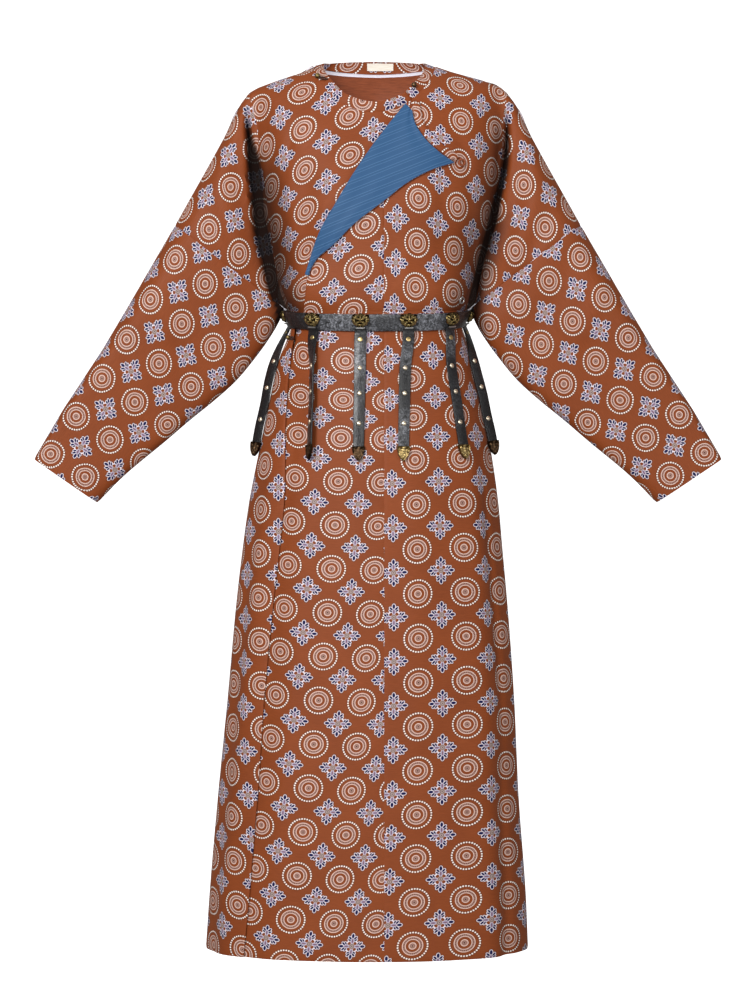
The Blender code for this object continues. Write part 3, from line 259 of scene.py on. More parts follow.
# Soft creases above the waist: a bent line through three places in the front view; height below zero is a
# trough
creases = [
    # face, then x and z of the start, the middle and the end, width, height
    ("front", -172, -60, -163, -190, -138, -320, 7, 4.5),
    ("front", -160, -200, -152, -260, -140, -330, 4, -4),
    ("front", -196, -60, -192, -170, -160, -322, 8, 4),
    ("front", -120, -78, -131, -125, -145, -180, 5, -3),
    ("front", 112, -96, 134, -150, 140, -250, 8, -2.6),
    ("front", 174, -60, 172, -180, 136, -322, 7, 4.5),
    ("front", 180, -110, 178, -150, 171, -190, 3.4, -4),
    ("front", 198, -60, 198, -170, 162, -322, 8, 4),
    ("front", -120, -60, -128, -150, -118, -260, 22, 3.5),
    ("front", -96, -120, -104, -200, -96, -300, 14, -2.2),
    ("front", 118, -60, 128, -150, 112, -260, 20, 3),
    ("front", 90, -150, 96, -220, 84, -320, 12, -2.4),
    ("front", -60, -250, -58, -290, -52, -335, 9, -1.6),
    ("front", 40, -250, 42, -300, 38, -338, 10, 1.8),
    ("front", -240, -130, -215, -230, -165, -325, 14, 3.5),
    ("front", -262, -180, -230, -265, -178, -345, 12, -3.5),
    ("front", 244, -130, 218, -230, 168, -325, 14, 3.5),
    ("front", 262, -180, 232, -265, 180, -345, 12, -3.5),
    ("front", -300, -240, -270, -330, -222, -400, 16, -3),
    ("front", -330, -300, -310, -380, -270, -450, 15, 3),
    ("front", -392, -400, -372, -460, -330, -520, 12, -2.5),
    ("front", -440, -480, -425, -530, -392, -575, 11, 2),
    ("front", 302, -240, 268, -330, 226, -410, 16, -3),
    ("front", 334, -300, 312, -380, 266, -444, 15, 3),
    ("front", 388, -400, 374, -460, 334, -524, 12, -2.5),
    ("front", 444, -480, 428, -530, 396, -578, 11, 2),
    ("back", -172, -70, -158, -200, -130, -325, 9, 4),
    ("back", 174, -60, 164, -190, 132, -330, 9, 4.5),
    ("back", -98, -60, -108, -160, -86, -300, 18, 3),
    ("back", 92, -80, 104, -180, 90, -320, 16, -3),
    ("back", -40, -230, -46, -280, -38, -338, 10, 2.2),
    ("back", 52, -240, 56, -290, 46, -338, 9, -2.2),
    ("back", -250, -140, -220, -240, -168, -330, 15, 4),
    ("back", -270, -190, -236, -275, -182, -350, 12, -4),
    ("back", 246, -130, 218, -228, 170, -322, 14, 4),
    ("back", 268, -200, 234, -280, 184, -352, 12, -4),
    ("back", -318, -270, -290, -350, -240, -420, 16, -3),
    ("back", 312, -260, 286, -345, 236, -415, 16, -3),
    ("back", -400, -410, -376, -470, -338, -530, 13, 2.5),
    ("back", 396, -400, 372, -462, 330, -522, 13, 2.5),
]

# Folds that run down the skirt: turn at the belt and at the hem, width in degrees at the hem, height, top
# and end
skirtFolds = [
    (-84, -88, 9, 3.0, -470, -1500), (-62, -70, 6, -2.4, -560, -1500), (-52, -58, 7, 2.6, -420, -1500),
    (-40, -47, 5, -2.2, -400, -1200), (-27, -34, 7, 2.2, -520, -1500), (-12, -18, 6, -1.8, -400, -900),
    (-2, -3, 8, 1.6, -700, -1500), (14, 12, 7, 1.8, -390, -1100), (31, 28, 8, -1.6, -500, -1400),
    (49, 44, 7, 2.4, -400, -1500), (58, 63, 4.5, -4.5, -520, -1050), (66, 55, 5, -5.0, -900, -1500),
    (78, 76, 8, 3.5, -420, -1500), (97, 98, 8, -4.5, -430, -1500), (112, 110, 9, 5, -400, -1500),
    (127, 129, 7, -4.5, -450, -1500), (146, 143, 10, 5, -400, -1500), (163, 166, 7, -4, -430, -1500),
    (177, 180, 6, 3, -600, -1500), (-98, -102, 9, -5, -430, -1500), (-114, -112, 9, 5, -400, -1500),
    (-131, -134, 7, -4.5, -480, -1500), (-149, -146, 9, 5, -400, -1500), (-166, -162, 6, -3.5, -430, -1500),
]
# the deep folds between body and sleeves: their edges in the front view, body side and sleeve side
valleys = {
    "right": {"z": (-40, -75, -102, -139, -176, -214, -251, -288, -326, -351),
              "body": (193, 191.5, 186, 174, 169, 166, 158, 151, 143, 134),
              "sleeve": (195, 196, 195, 193, 190, 186, 181, 171, 162, 152)},
    "left": {"z": (-55, -75, -114, -151, -188, -226, -263, -300, -338, -352),
             "body": (192, 192, 190, 183.6, 172.4, 163.7, 153.7, 144.8, 135, 132),
             "sleeve": (193, 195.5, 197, 194, 186, 179, 167, 157.4, 149, 146)},
    # shade sets how dark the shade painted into the folds is; soft gives the reach and strength of the shade
    # painted beside them, body side then sleeve side
    "deep": 19, "wall": 3.5, "shade": 0.97,
    "soft": {"right": (46, 0.85, 16, 0.4), "left": (50, 0.66, 28, 0.92)},
}
puckers = {"waves": (7.0, 11.0, 17.0), "height": (0.9, 0.7, 0.5), "phase": (0.4, 1.9, 4.1), "reach": 34}


def valleyEdges(side, x, z):
    own = valleys[side]
    ax = np.where((x < 0) == (side == "right"), np.abs(x), 0)
    return ax - through(own["z"], own["body"], z), through(own["z"], own["sleeve"], z) - ax


def hollowAt(grid, face):  # painted shade: how deep in shade a place lies, from 0 to 1
    x, z = grid[..., 0], grid[..., 2]
    total = np.zeros(x.shape)
    for side in ("right", "left"):
        body, sleeve = valleyEdges(side, x, z)
        deep = ease(-6 if side == "right" else -3, 3, body) * ease(-2, 1.5, sleeve)
        deep = deep * ease(-45, -90, z) * valleys["shade"]
        reachBody, byBody, reachSleeve, bySleeve = valleys["soft"][side]
        lower = ease(*((-70, -190) if side == "right" else (-40, -110)), z)
        beside = np.where(body < 0, byBody * ease(-reachBody, 3, body), 0) * lower
        beside += np.where(sleeve < 0, bySleeve * ease(-reachSleeve, 3, sleeve), 0) * ease(-180, -260, z)
        onSide = (x < 0) == (side == "right")
        total = np.maximum(total, np.where(onSide, np.maximum(deep, beside * (np.abs(x) > 60)), 0))
    if face == "back":
        total = total * 0.8
    return total * (z > -420)


def creaseDepth(x, z, face):
    total = np.zeros(np.shape(x))
    for side in ("right", "left"):
        body, sleeve = valleyEdges(side, x, z)
        wall = valleys["wall"]
        into = ease(-wall, wall, body) * ease(-wall, wall, sleeve) * ease(-40, -95, z)
        total -= valleys["deep"] * into * (0.7 if face == "back" else 1)
    for side, startX, startZ, middleX, middleZ, endX, endZ, width, height in creases:
        if side != face:
            continue
        near = (x > min(startX, middleX, endX) - 4 * width) & (x < max(startX, middleX, endX) + 4 * width)
        near &= (z > endZ - 4 * width) & (z < startZ + 4 * width)
        if not near.any():
            continue
        t = np.linspace(0, 1, 9)
        line = np.stack([a * (1 - t) * (1 - 2 * t) + m * 4 * t * (1 - t) + b * t * (2 * t - 1)
                         for a, m, b in ((startX, middleX, endX), (startZ, middleZ, endZ))], axis=-1)
        away, share = nearest(line, x[near], z[near])
        fade = np.clip(4.5 * share * (1 - share), 0, 1)
        total[near] += height * np.exp(-((away / width) ** 2)) * fade
    rest = depth(x, z, face)
    return total * ease(6, 30, rest) * ease(-362, -332, z + 60 * ease(150, 190, np.abs(x)))


def creaseLift(level, turn):
    level, turn = np.broadcast_arrays(np.asarray(level, float), np.asarray(turn, float))
    total = np.zeros(level.shape)
    for top, low, width, height, start, end in skirtFolds:
        share = np.clip((level + 352) / -953, 0, 1)
        away = (turn - (top + (low - top) * share) + 180) % 360 - 180
        grown = ease(start, start - 260, level) * (1 - ease(end + 160, end, level) if end > -1400 else 1)
        total += height * grown * np.exp(-((away / (width * (0.7 + 0.3 * share))) ** 2))
    near = np.exp(-(((level + 400) / puckers["reach"]) ** 2)) * ease(-384, -402, level)
    for count, height, phase in zip(puckers["waves"], puckers["height"], puckers["phase"]):
        total += near * height * np.sin(np.radians(turn) * count + phase)
    return total


# Places of the cloth panels: rows by columns, closer together beside the seams
fine = {"rows": 84, "overlap": 34, "inner": 12, "lap": 40, "sleeve": 40, "seam": 0.012}


def rowsEased(count):
    even = np.linspace(0, 1, count + 1)
    return even - np.where(even < 0.5, 0.85, 0.5) * np.sin(2 * np.pi * even) / (2 * np.pi)


def patch(inner, outer, top, bottom, across, down):
    s, t = across[None, :, None], down[:, None, None]
    blend = (1 - s) * inner[:, None] + s * outer[:, None] + (1 - t) * top[None] + t * bottom[None]
    corners = (1 - s) * (1 - t) * top[0] + s * (1 - t) * top[-1]
    return blend - (corners + (1 - s) * t * bottom[0] + s * t * bottom[-1])


def neckSeam(turn):
    x = through(neckLine["turn"], neckLine["seamX"], np.abs(turn)) * np.sign(turn)
    x = x + neckLine["shift"] * ease(180, 168, np.abs(turn))
    return np.stack([x, through(neckLine["turn"], neckLine["seamZ"], np.abs(turn))], axis=-1)


down = rowsEased(fine["rows"])
acrossTorso = np.concatenate([[0, fine["seam"]], np.linspace(0.025, 0.88, 35), np.linspace(0.88, 1, 12)[1:]])
acrossTorso = np.unique(np.concatenate([acrossTorso, [0.3, 0.6]]))
acrossArm = np.concatenate([np.linspace(0, 0.2, 12), np.linspace(0.2, 0.985, 17)[1:], [1]])
skirtLevels = np.concatenate([np.arange(-352, -410, -4), np.linspace(-412, -1301, 142), [-1305]])
skirtTurns = np.concatenate([66 * acrossTorso, 66 + 24 * acrossArm[1:]])
skirtTurns = np.concatenate([skirtTurns, 180 - skirtTurns[::-1][1:]])


def signOf(side):
    return -1 if side == "right" else 1


def shoulderAt(side, start, shares):
    xs, zs = topFold[side], topFold["z"]
    spots = along([abs(start[0])] + list(xs[1:5]), [start[1]] + list(zs[1:5]), shares)
    return spots * np.array([signOf(side), 1])


def topEdge(side, face):  # round the neck, then along the shoulder to its tip
    onNeck = acrossTorso[acrossTorso <= 0.6] / 0.6
    if face == "back":
        neck = neckSeam((180 - (180 - form["shoulderTurn"]) * onNeck) * signOf(side))
        neck[0][0] = 0
    elif side == "right":
        neck = neckSeam(-(0.5 + (form["shoulderTurn"] - 0.5) * onNeck))
    else:
        low = onNeck[onNeck < 0.5] / 0.5
        fold = along(lapelFold["x"][:2] + (form["outerSeam"],), lapelFold["z"][:2] + (form["crossing"],),
                     1 - low)
        high = (onNeck[onNeck >= 0.5] - 0.5) / 0.5
        turns = form["lapelTurn"] + (form["shoulderTurn"] - form["lapelTurn"]) * high
        neck = np.concatenate([fold, neckSeam(turns)])
    shoulder = shoulderAt(side, neck[-1], (acrossTorso[acrossTorso > 0.6] - 0.6) / 0.4)
    return np.concatenate([neck, shoulder])


def seamSpots(side):
    xs = [topFold[side][7]] + list(sleeveSeam["x"][1:-1]) + [halfWidth(side, form["waist"])]
    return along(xs, sleeveSeam["z"], down) * np.array([signOf(side), 1])


def upperFlat(side, inner, top, waist):
    bottom = waist[:, [0, 2]]
    count = len(acrossTorso) - 1
    levels = np.array([-75, -120, -180, -240, -300])
    xs = np.concatenate([[top[-1][0]], (halfWidth(side, levels) - 3) * signOf(side), [bottom[count][0]]])
    valley = along(xs, np.concatenate([[top[-1][1]], levels, [bottom[count][1]]]), down)
    arm = along(topFold[side][4:8], topFold["z"][4:8], acrossArm) * np.array([signOf(side), 1])
    outer = seamSpots(side)
    outer[-1] = bottom[-1]
    chest = patch(inner, valley, top, bottom[:count + 1], acrossTorso, down)
    sleeve = patch(valley, outer, arm, bottom[count:], acrossArm, down)
    flat = np.concatenate([chest, sleeve[:, 1:]], axis=1)
    place = np.concatenate([acrossTorso * 10, 10 + acrossArm[1:] * 5])
    beside = np.exp(-((place - 6) / 1.8) ** 2) * (place > 0)
    spread = np.sin(np.pi * np.sqrt(np.clip(down / 0.6, 0, 1)))
    flat[..., 0] += form["neckSpread"] * spread[:, None] * beside * signOf(side)
    return flat


def upperSheet(side, face, lifted):
    half = len(skirtTurns) // 2 + 1
    turns = skirtTurns[:half] * signOf(side)
    if face == "front":
        seam = form["innerSeam"] if side == "right" else form["outerSeam"]
        turns[0] = ringTurn(form["waist"], seam)
        turns[1] = max(abs(turns[1]), abs(turns[0]) + 0.7) * signOf(side)
        turns[2:] = np.maximum(np.abs(turns[2:]), abs(turns[1]) + 0.3 * np.arange(1, half - 1)) * signOf(side)
        waist = ringPoint(form["waist"], turns, ringOuterLift(form["waist"], turns) if lifted else 0.0,
                          plain=True)
        start = form["crossing"] if lifted else neckSeam(-0.5)[1]
        inner = along([seam, seam], [start, waist[0][2]], down)
        inner[-1] = waist[0][[0, 2]]
    else:
        waist = ringPoint(form["waist"], 180 * signOf(side) - turns, plain=True)
        waist[0][0] = 0
        inner = along([0, 0], [neckSeam(180)[1], waist[0][2]], down)
    top = topEdge(side, face)
    top[0] = inner[0]
    flat = upperFlat(side, inner, top, waist)
    rise = outerLift(flat[..., 0], flat[..., 1]) if lifted else 0.0
    grid = sheetPoint(flat[..., 0], flat[..., 1], face, rise)
    fold = np.concatenate([acrossTorso, 1 + acrossArm[1:]]) >= 0.6
    grid[0, fold, 1] = shoulderPlane(grid[0, fold, 0], grid[0, fold, 2])
    grid[-1] = waist
    return grid, turns


def skirtSheet(side, seam, lifted, firstTurns):
    turns = np.tile(skirtTurns * signOf(side), (len(skirtLevels), 1))
    edge = ringTurn(skirtLevels, seam)
    turns[:, 0] = edge
    share = np.clip(np.abs(turns[0]) / 20, 0, 1)
    ahead = np.abs(turns) * share + (np.abs(edge)[:, None] + np.abs(turns[0])) * (1 - share)
    turns = np.where(np.arange(turns.shape[1]) == 0, turns,
                     np.maximum(ahead, np.abs(edge)[:, None] + 0.3) * signOf(side))
    turns[0, :len(firstTurns)] = firstTurns
    levels = np.repeat(skirtLevels[:, None], turns.shape[1], axis=1)
    grid = ringPoint(levels, turns, ringOuterLift(levels, turns) if lifted else 0.0)
    grid[:, -1, 0] = 0
    return grid, levels, turns


def sleeveSheet(side, front, back):
    across = np.concatenate([[0, 0.012], np.linspace(0.03, 0.985, fine["sleeve"]), [1]])
    seam = seamSpots(side)
    cuff = along([topFold[side][-1], underFold["x"][-1]], [topFold["z"][-1], underFold["z"][-1]], down)
    cuff[:, 0] *= signOf(side)
    top = along(topFold[side][7:], topFold["z"][7:], across) * np.array([signOf(side), 1])
    bottom = along((halfWidth(side, form["waist"]),) + underFold["x"][1:], underFold["z"], across)
    flat = patch(seam, cuff, top, bottom * np.array([signOf(side), 1]), across, down)
    grids = []
    for face, beside in (("front", front), ("back", back)):
        grid = sheetPoint(flat[..., 0], flat[..., 1], face)
        grid[0, :, 1] = shoulderPlane(grid[0, :, 0], grid[0, :, 2])
        grid[-1, :, 1] = 0
        grid[:, 0] = beside[:, -1]
        grids.append(grid)
    return grids


def lapSheet():
    levels = np.concatenate([[form["lapTop"]], skirtLevels[skirtLevels < -375]])
    shares = np.concatenate([np.linspace(0, 0.96, fine["lap"]), [0.985, 1]])
    edge = ringTurn(levels, through(lapEdge["z"], lapEdge["x"], levels))
    turns = form["lapTurn"] + (edge[:, None] - form["lapTurn"]) * shares
    levels = np.repeat(levels[:, None], turns.shape[1], axis=1)
    return ringPoint(levels, turns, ringLapLift(levels, turns)), levels, turns


def frontOverlapSheets(leftFront, leftSkirt):
    shares = np.concatenate([[0, 0.018], np.linspace(0.04, 0.97, fine["overlap"]), [0.985, 1]])
    ends = ringTurn(form["waist"], form["outerSeam"]), ringTurn(form["waist"], closingEdge["x"][1])
    turns = ends[0] + (ends[1] - ends[0]) * shares
    waist = ringPoint(form["waist"], turns, ringOuterLift(form["waist"], turns), plain=True)
    edge = along((form["outerSeam"],) + lapelFold["x"][2:] + (waist[-1][0],),
                 (form["crossing"],) + lapelFold["z"][2:] + (waist[-1][2],), down)
    inner = leftFront[:, 0][:, [0, 2]]
    flat = inner[:, None] + shares[None, :, None] * (edge - inner)[:, None]
    above = sheetPoint(flat[..., 0], flat[..., 1], "front", outerLift(flat[..., 0], flat[..., 1]))
    above[-1] = waist
    above[:, 0] = leftFront[:, 0]
    above[0] = leftFront[0, 0]
    start = ringTurn(skirtLevels, form["outerSeam"])
    end = ringTurn(skirtLevels, through(closingEdge["z"], closingEdge["x"], skirtLevels))
    end[0] = ends[1]
    turns = start[:, None] + (end - start)[:, None] * shares
    levels = np.repeat(skirtLevels[:, None], turns.shape[1], axis=1)
    below = ringPoint(levels, turns, ringOuterLift(levels, turns))
    below[:, 0] = leftSkirt[:, 0]
    below[0] = waist
    return above, below, levels, turns


def innerOverlapSheets(rightFront, rightSkirt):
    shares = np.linspace(0, 1, fine["inner"] + 1)
    top = neckSeam(0.5 + (form["innerTurn"] - 0.5) * shares)
    inner = rightFront[:, 0][:, [0, 2]]
    top[0] = inner[0]
    ends = ringTurn(form["waist"], form["innerSeam"]), ringTurn(form["waist"], innerEdge["x"][3])
    waist = ringPoint(form["waist"], ends[0] + (ends[1] - ends[0]) * shares, plain=True)
    edge = along((top[-1][0],) + innerEdge["x"][1:3] + (waist[-1][0],),
                 (top[-1][1],) + innerEdge["z"][1:3] + (waist[-1][2],), down)
    flat = patch(inner, edge, top, waist[:, [0, 2]], shares, down)
    above = sheetPoint(flat[..., 0], flat[..., 1], "front")
    above[-1] = waist
    above[:, 0] = rightFront[:, 0]
    start = ringTurn(skirtLevels, form["innerSeam"])
    end = ringTurn(skirtLevels, through(innerEdge["z"], innerEdge["x"], skirtLevels))
    turns = start[:, None] + (end - start)[:, None] * shares
    levels = np.repeat(skirtLevels[:, None], turns.shape[1], axis=1)
    below = ringPoint(levels, turns)
    below[:, 0] = rightSkirt[:, 0]
    below[0] = waist
    return above, below, levels, turns


# Flat places on the cloth, along and down its threads, in millimetres
def ringArc(levels, turns):
    table = np.linspace(-180, 180, 361)
    arc = np.empty(turns.shape)
    for r, level in enumerate(levels[:, 0]):
        ring = ringPoint(level, table, plain=True)
        run = np.concatenate([[0], np.cumsum(np.linalg.norm(np.diff(ring, axis=0), axis=1))])
        arc[r] = np.interp(turns[r], table, run - run[180])
    return np.stack([arc, levels], axis=-1)


def readRaster(field, xs, zs, x, z):
    i = np.clip((x - xs[0]) / (xs[1] - xs[0]), 0, len(xs) - 1.001)
    k = np.clip((z - zs[0]) / (zs[1] - zs[0]), 0, len(zs) - 1.001)
    columnAt, rowAt = i.astype(int), k.astype(int)
    across, upward = i - columnAt, k - rowAt
    low = field[rowAt, columnAt] * (1 - across) + field[rowAt, columnAt + 1] * across
    high = field[rowAt + 1, columnAt] * (1 - across) + field[rowAt + 1, columnAt + 1] * across
    return low * (1 - upward) + high * upward


def chestArc(face):
    xs, zs = np.arange(-330, 331, 1.5), np.arange(-420, 60, 1.5)
    far = depth(xs[None, :] + 0 * zs[:, None], zs[:, None] + 0 * xs[None, :], face)
    overX = np.sqrt(1 + np.clip(np.gradient(far, xs, axis=1), -8, 8) ** 2)
    overZ = np.sqrt(1 + np.clip(np.gradient(far, zs, axis=0), -8, 8) ** 2)
    s = np.cumsum(overX, axis=1) * 1.5
    s -= s[:, [len(xs) // 2]]
    t = np.cumsum(overZ, axis=0) * 1.5
    t += -352 - t[[int((420 - 352) / 1.5)]]
    # threads across run level beyond the chest
    return xs, zs, s, t[:, np.searchsorted(xs, np.clip(xs, -112, 112))]


def chestFlat(rasters, grid):
    xs, zs, s, t = rasters
    x, z = grid[..., 0], grid[..., 2]
    return np.stack([readRaster(s, xs, zs, x, z), readRaster(t, xs, zs, x, z)], axis=-1)


armAxis = {"tip": (195, -30), "down": (0.505, -0.863), "in": (-0.863, -0.505), "fold": -9.6, "round": 40}


def armArc(side, face):
    downArm, inward = np.array(armAxis["down"]), np.array(armAxis["in"])
    a, b = np.arange(-80, 680, 4.0), np.arange(-60, 300, 1.0)
    x = armAxis["tip"][0] + a[None, :] * downArm[0] + b[:, None] * inward[0]
    z = armAxis["tip"][1] + a[None, :] * downArm[1] + b[:, None] * inward[1]
    far = depth(x * signOf(side), z, face)
    slope = np.sqrt(1 + np.clip(np.gradient(far, b, axis=0), -12, 12) ** 2)
    inside = z < np.interp(x, topFold[side], topFold["z"])
    return a, b, np.cumsum(slope * inside, axis=0) + armAxis["fold"] / 2


def armFlat(rasters, side, grid):
    a, b, arc = rasters
    x, z = np.abs(grid[..., 0]), grid[..., 2]
    spot = np.stack([x - armAxis["tip"][0], z - armAxis["tip"][1]], axis=-1)
    onA, onB = spot @ np.array(armAxis["down"]), spot @ np.array(armAxis["in"])
    far = np.abs(grid[..., 1] - shoulderPlane(x, z)) / armAxis["round"]
    near = armAxis["fold"] + armAxis["round"] / 2 * (far * np.sqrt(1 + far * far) + np.arcsinh(far))
    inward = ease(2, 8, nearest(topLine(side), x, z)[0])
    return np.stack([onA, near + inward * (readRaster(arc, a, b, onA, onB) - near)], axis=-1)


# cloth of the back: carries on over the fold from the front, the threads unbroken
def overFold(name, flat, fold):
    onFold = np.stack([flat[..., 0], fold + 0 * flat[..., 0]], axis=-1)
    return 2 * repeatAt(name, onFold) - repeatAt(name, flat)


# How each panel's woven repeat lies on its flat cloth: one roundel at each whole place, one flower cross
# between four of them. Middle place in mm; across and down as shares of a repeat for each 100 mm; motif is
# the repeat's size
lattice = {
    "chestRight": {"middle": (-105.3, -130.8), "across": (-0.9417, 1.4372, 0.0267, -0.03, 0.0215, 0.0098),
        "down": (-0.7029, -0.4808, 1.6349, 0.0168, -0.0373, 0.0353), "reach": (-0.8421, 0.6545),
        "motif": (69, 64)},
    "chestLeft": {"middle": (116.2, -153.6), "across": (0.8706, 1.5911, -0.0364, -0.0287, 0.0157, -0.0045),
        "down": (0.7574, 0.1948, 1.5467, 0.0145, 0.0073, 0.0224), "reach": (-0.9064, 0.8556),
        "motif": (69, 64)},
    "overAbove": {"middle": (-40.3, -300.3), "across": (-0.2, 1.4962, -0.2267, 0, 0, 0),
        "down": (-0, -0.0711, 1.5776, 0, 0, 0), "reach": (-0.2601, 0.2267), "motif": (66, 66)},
    "overBelow": {"middle": (-75.9, -949.1), "across": (1.1456, 1.5949, -0.1725, -0.0102, 0.01, 0.0728),
        "down": (-5.3011, 0.0915, 1.5658, 0.0069, 0.0002, -0.077), "reach": (-0.9468, 0.8133),
        "motif": (64, 68.4)},
    "skirtLeft": {"middle": (107.9, -852), "across": (0.7003, 1.3692, 0.0157, 0.0202, 0.0072, -0.0666),
        "down": (-6.2226, -0.033, 1.5578, -0.0037, -0.0055, 0.0359), "reach": (-0.9119, 1.143),
        "motif": (70.1, 65.9)},
    "lap": {"middle": (-196.1, -914.6), "across": (-0.4273, 1.5607, 0.0838, 0.007, -0.0175, 0.0148),
        "down": (-5.0656, -0.0161, 1.5585, 0.006, -0.002, 0.0024), "reach": (-0.7986, 0.5509),
        "motif": (66, 67)},
    "armRight": {"middle": (174.2, 86), "across": (0.5, 1.4261, -0.2133, 0, 0, 0),
        "down": (0.3571, -0.0418, 1.7575, 0, 0, 0), "reach": (-0.7814, 0.4958), "motif": (69.4, 63.5)},
    "armLeft": {"middle": (170.9, 86.2), "across": (0.5, 1.423, -0.1855, 0, 0, 0),
        "down": (0.3571, -0.1038, 1.7653, 0, 0, 0), "reach": (-0.7745, 0.4834), "motif": (69.4, 63.5)},
    "sleeveRight": {"middle": (430.2, 109.9), "across": (2.196, 1.4738, -0.1406, 0.0376, 0.0186, 0.0075),
        "down": (1.2111, 0.0596, 1.6983, -0.0337, 0.0244, 0.0096), "reach": (-1.5944, 1.8675),
        "motif": (69.4, 63.5)},
    "sleeveLeft": {"middle": (427.8, 109.7), "across": (2.1957, 1.4603, -0.1281, 0.028, 0.013, 0.0079),
        "down": (1.1996, 0.0692, 1.7102, -0.024, 0.0364, 0.018), "reach": (-1.5989, 1.8858),
        "motif": (69.4, 63.5)},
    "chestBack": {"middle": (0, -150), "across": (0.3, 1.52, 0, 0, 0, 0),
        "down": (0, 0, 1.58, 0, 0, 0), "reach": (-1, 1), "motif": (66, 66)},
    "skirtBack": {"middle": (0, -850), "across": (0.3, 1.45, 0, 0, 0, 0),
        "down": (0.2, 0, 1.55, 0, 0, 0), "reach": (-1, 1), "motif": (66, 66)},
}


def repeatAt(name, flat):  # place in repeats of each point of a panel
    own = lattice[name]
    s, t = (flat[..., 0] - own["middle"][0]) / 100, (flat[..., 1] - own["middle"][1]) / 100
    near = np.clip(s, own["reach"][0] - 0.3, own["reach"][1] + 0.3)
    bend = (near * t, t * t, near * near)
    return np.stack([own[k][0] + own[k][1] * s + own[k][2] * t + sum(c * b for c, b in zip(own[k][3:], bend))
                     for k in ("across", "down")], axis=-1)


def newPiece(name, mesh):
    piece = bpy.data.objects.new(name, mesh)
    bpy.context.scene.collection.objects.link(piece)
    return piece


def panel(grid, repeat=None, motif=(66, 66), flip=False, shade=None):
    if repeat is None:
        repeat = grid[..., [0, 2]] / 100
    shade = np.zeros(grid.shape[:2]) if shade is None else shade
    return {"grid": grid, "repeat": repeat, "motif": motif, "flip": flip, "shade": shade}


# both faces of the cloth and its turned edges
def clothShell(name, panels, thick, outside, inside, roll=0.8):
    places = np.concatenate([p["grid"].reshape(-1, 3) for p in panels])
    repeat = np.concatenate([p["repeat"].reshape(-1, 2) for p in panels])
    motif = np.concatenate([np.tile(p["motif"] + (1,), (p["grid"][..., 0].size, 1)) for p in panels])
    first, index = np.unique(np.round(places, 2) + 0.0, axis=0, return_index=True, return_inverse=True)[1:]
    index = index.ravel()
    corners, start = [], 0
    for p in panels:
        rows, columns = p["grid"].shape[:2]
        own = start + np.arange(rows * columns).reshape(rows, columns)
        quad = np.stack([own[:-1, :-1], own[1:, :-1], own[1:, 1:], own[:-1, 1:]], axis=-1).reshape(-1, 4)
        corners.append(quad[:, ::-1] if p["flip"] else quad)
        start += rows * columns
    corners = np.concatenate(corners)
    spots, welded = places[first].copy(), index[corners]
    area = np.cross(spots[welded[:, 2]] - spots[welded[:, 0]], spots[welded[:, 3]] - spots[welded[:, 1]]) / 2
    normals = np.zeros_like(spots)
    for k in range(4):
        np.add.at(normals, welded[:, k], area)
    normals /= np.maximum(np.linalg.norm(normals, axis=1), 1e-9)[:, None]
    faces, uses, edges = [], [], set()
    for around, use in zip(welded.tolist(), corners.tolist()):
        keep = [k for k in range(4) if around[k] != around[k - 1]]
        if len(keep) > 2:
            faces.append([around[k] for k in keep])
            uses.append([use[k] for k in keep])
            edges.update((faces[-1][k - 1], faces[-1][k]) for k in range(len(keep)))
    rim = [edge for edge in edges if (edge[1], edge[0]) not in edges]
    onRim = np.unique(np.array(rim))
    spots[onRim] -= normals[onRim] * roll
    count, front = len(spots), len(faces)
    inner = spots - normals * thick
    faces += [[v + count for v in reversed(f)] for f in faces]
    uses += [list(reversed(u)) for u in uses]
    sample = dict(zip(index.tolist(), range(len(index))))
    faces += [[b, a, a + count, b + count] for a, b in rim]
    uses += [[sample[b], sample[a], sample[a], sample[b]] for a, b in rim]
    mesh = bpy.data.meshes.new(name)
    mesh.from_pydata((np.concatenate([spots, inner]) / 1000).tolist(), [], faces)
    flat = np.concatenate([np.array(u) for u in uses])
    mesh.uv_layers.new(name="repeat").uv.foreach_set("vector", repeat[flat].astype(np.float32).ravel())
    size = mesh.attributes.new("motif", "FLOAT_VECTOR", "CORNER")
    size.data.foreach_set("vector", motif[flat].astype(np.float32).ravel())
    shade = np.concatenate([p["shade"].ravel() for p in panels])[first]
    mesh.attributes.new("shade", "FLOAT", "POINT").data.foreach_set("value",
                                                                    np.tile(shade, 2).astype(np.float32))
    mesh.materials.append(outside)
    mesh.materials.append(inside)
    side = np.zeros(len(faces), np.int32)
    side[front:2 * front] = 1
    mesh.polygons.foreach_set("material_index", side)
    mesh.shade_smooth()
    mesh.set_sharp_from_angle(angle=math.radians(50))
    mesh.update()
    return newPiece(name, mesh), float(np.linalg.norm(area, axis=1).sum()) / 1e6


def solidFrom(name, rings, finish, closed=True, sharp=40):  # closed skin through rings of places in mm
    rings = np.asarray(rings, float)
    count, around = rings.shape[:2]
    faces = [[r * around + k, r * around + (k + 1) % around, (r + 1) * around + (k + 1) % around,
              (r + 1) * around + k]
             for r in range(count - 1) for k in range(around)]
    points = rings.reshape(-1, 3)
    if closed:
        points = np.concatenate([points, [rings[0].mean(0)], [rings[-1].mean(0)]])
        faces += [[(k + 1) % around, k, count * around] for k in range(around)]
        last = (count - 1) * around
        faces += [[last + k, last + (k + 1) % around, count * around + 1] for k in range(around)]
    mesh = bpy.data.meshes.new(name)
    mesh.from_pydata((points / 1000).tolist(), [], faces)
    mesh.materials.append(finish)
    mesh.shade_smooth()
    mesh.set_sharp_from_angle(angle=math.radians(sharp))
    return newPiece(name, mesh)


def linear(text):  # sRGB hex to a linear colour
    parts = [int(text[k:k + 2], 16) / 255 for k in (0, 2, 4)]
    return tuple(p / 12.92 if p <= 0.04045 else ((p + 0.055) / 1.055) ** 2.4 for p in parts) + (1.0,)


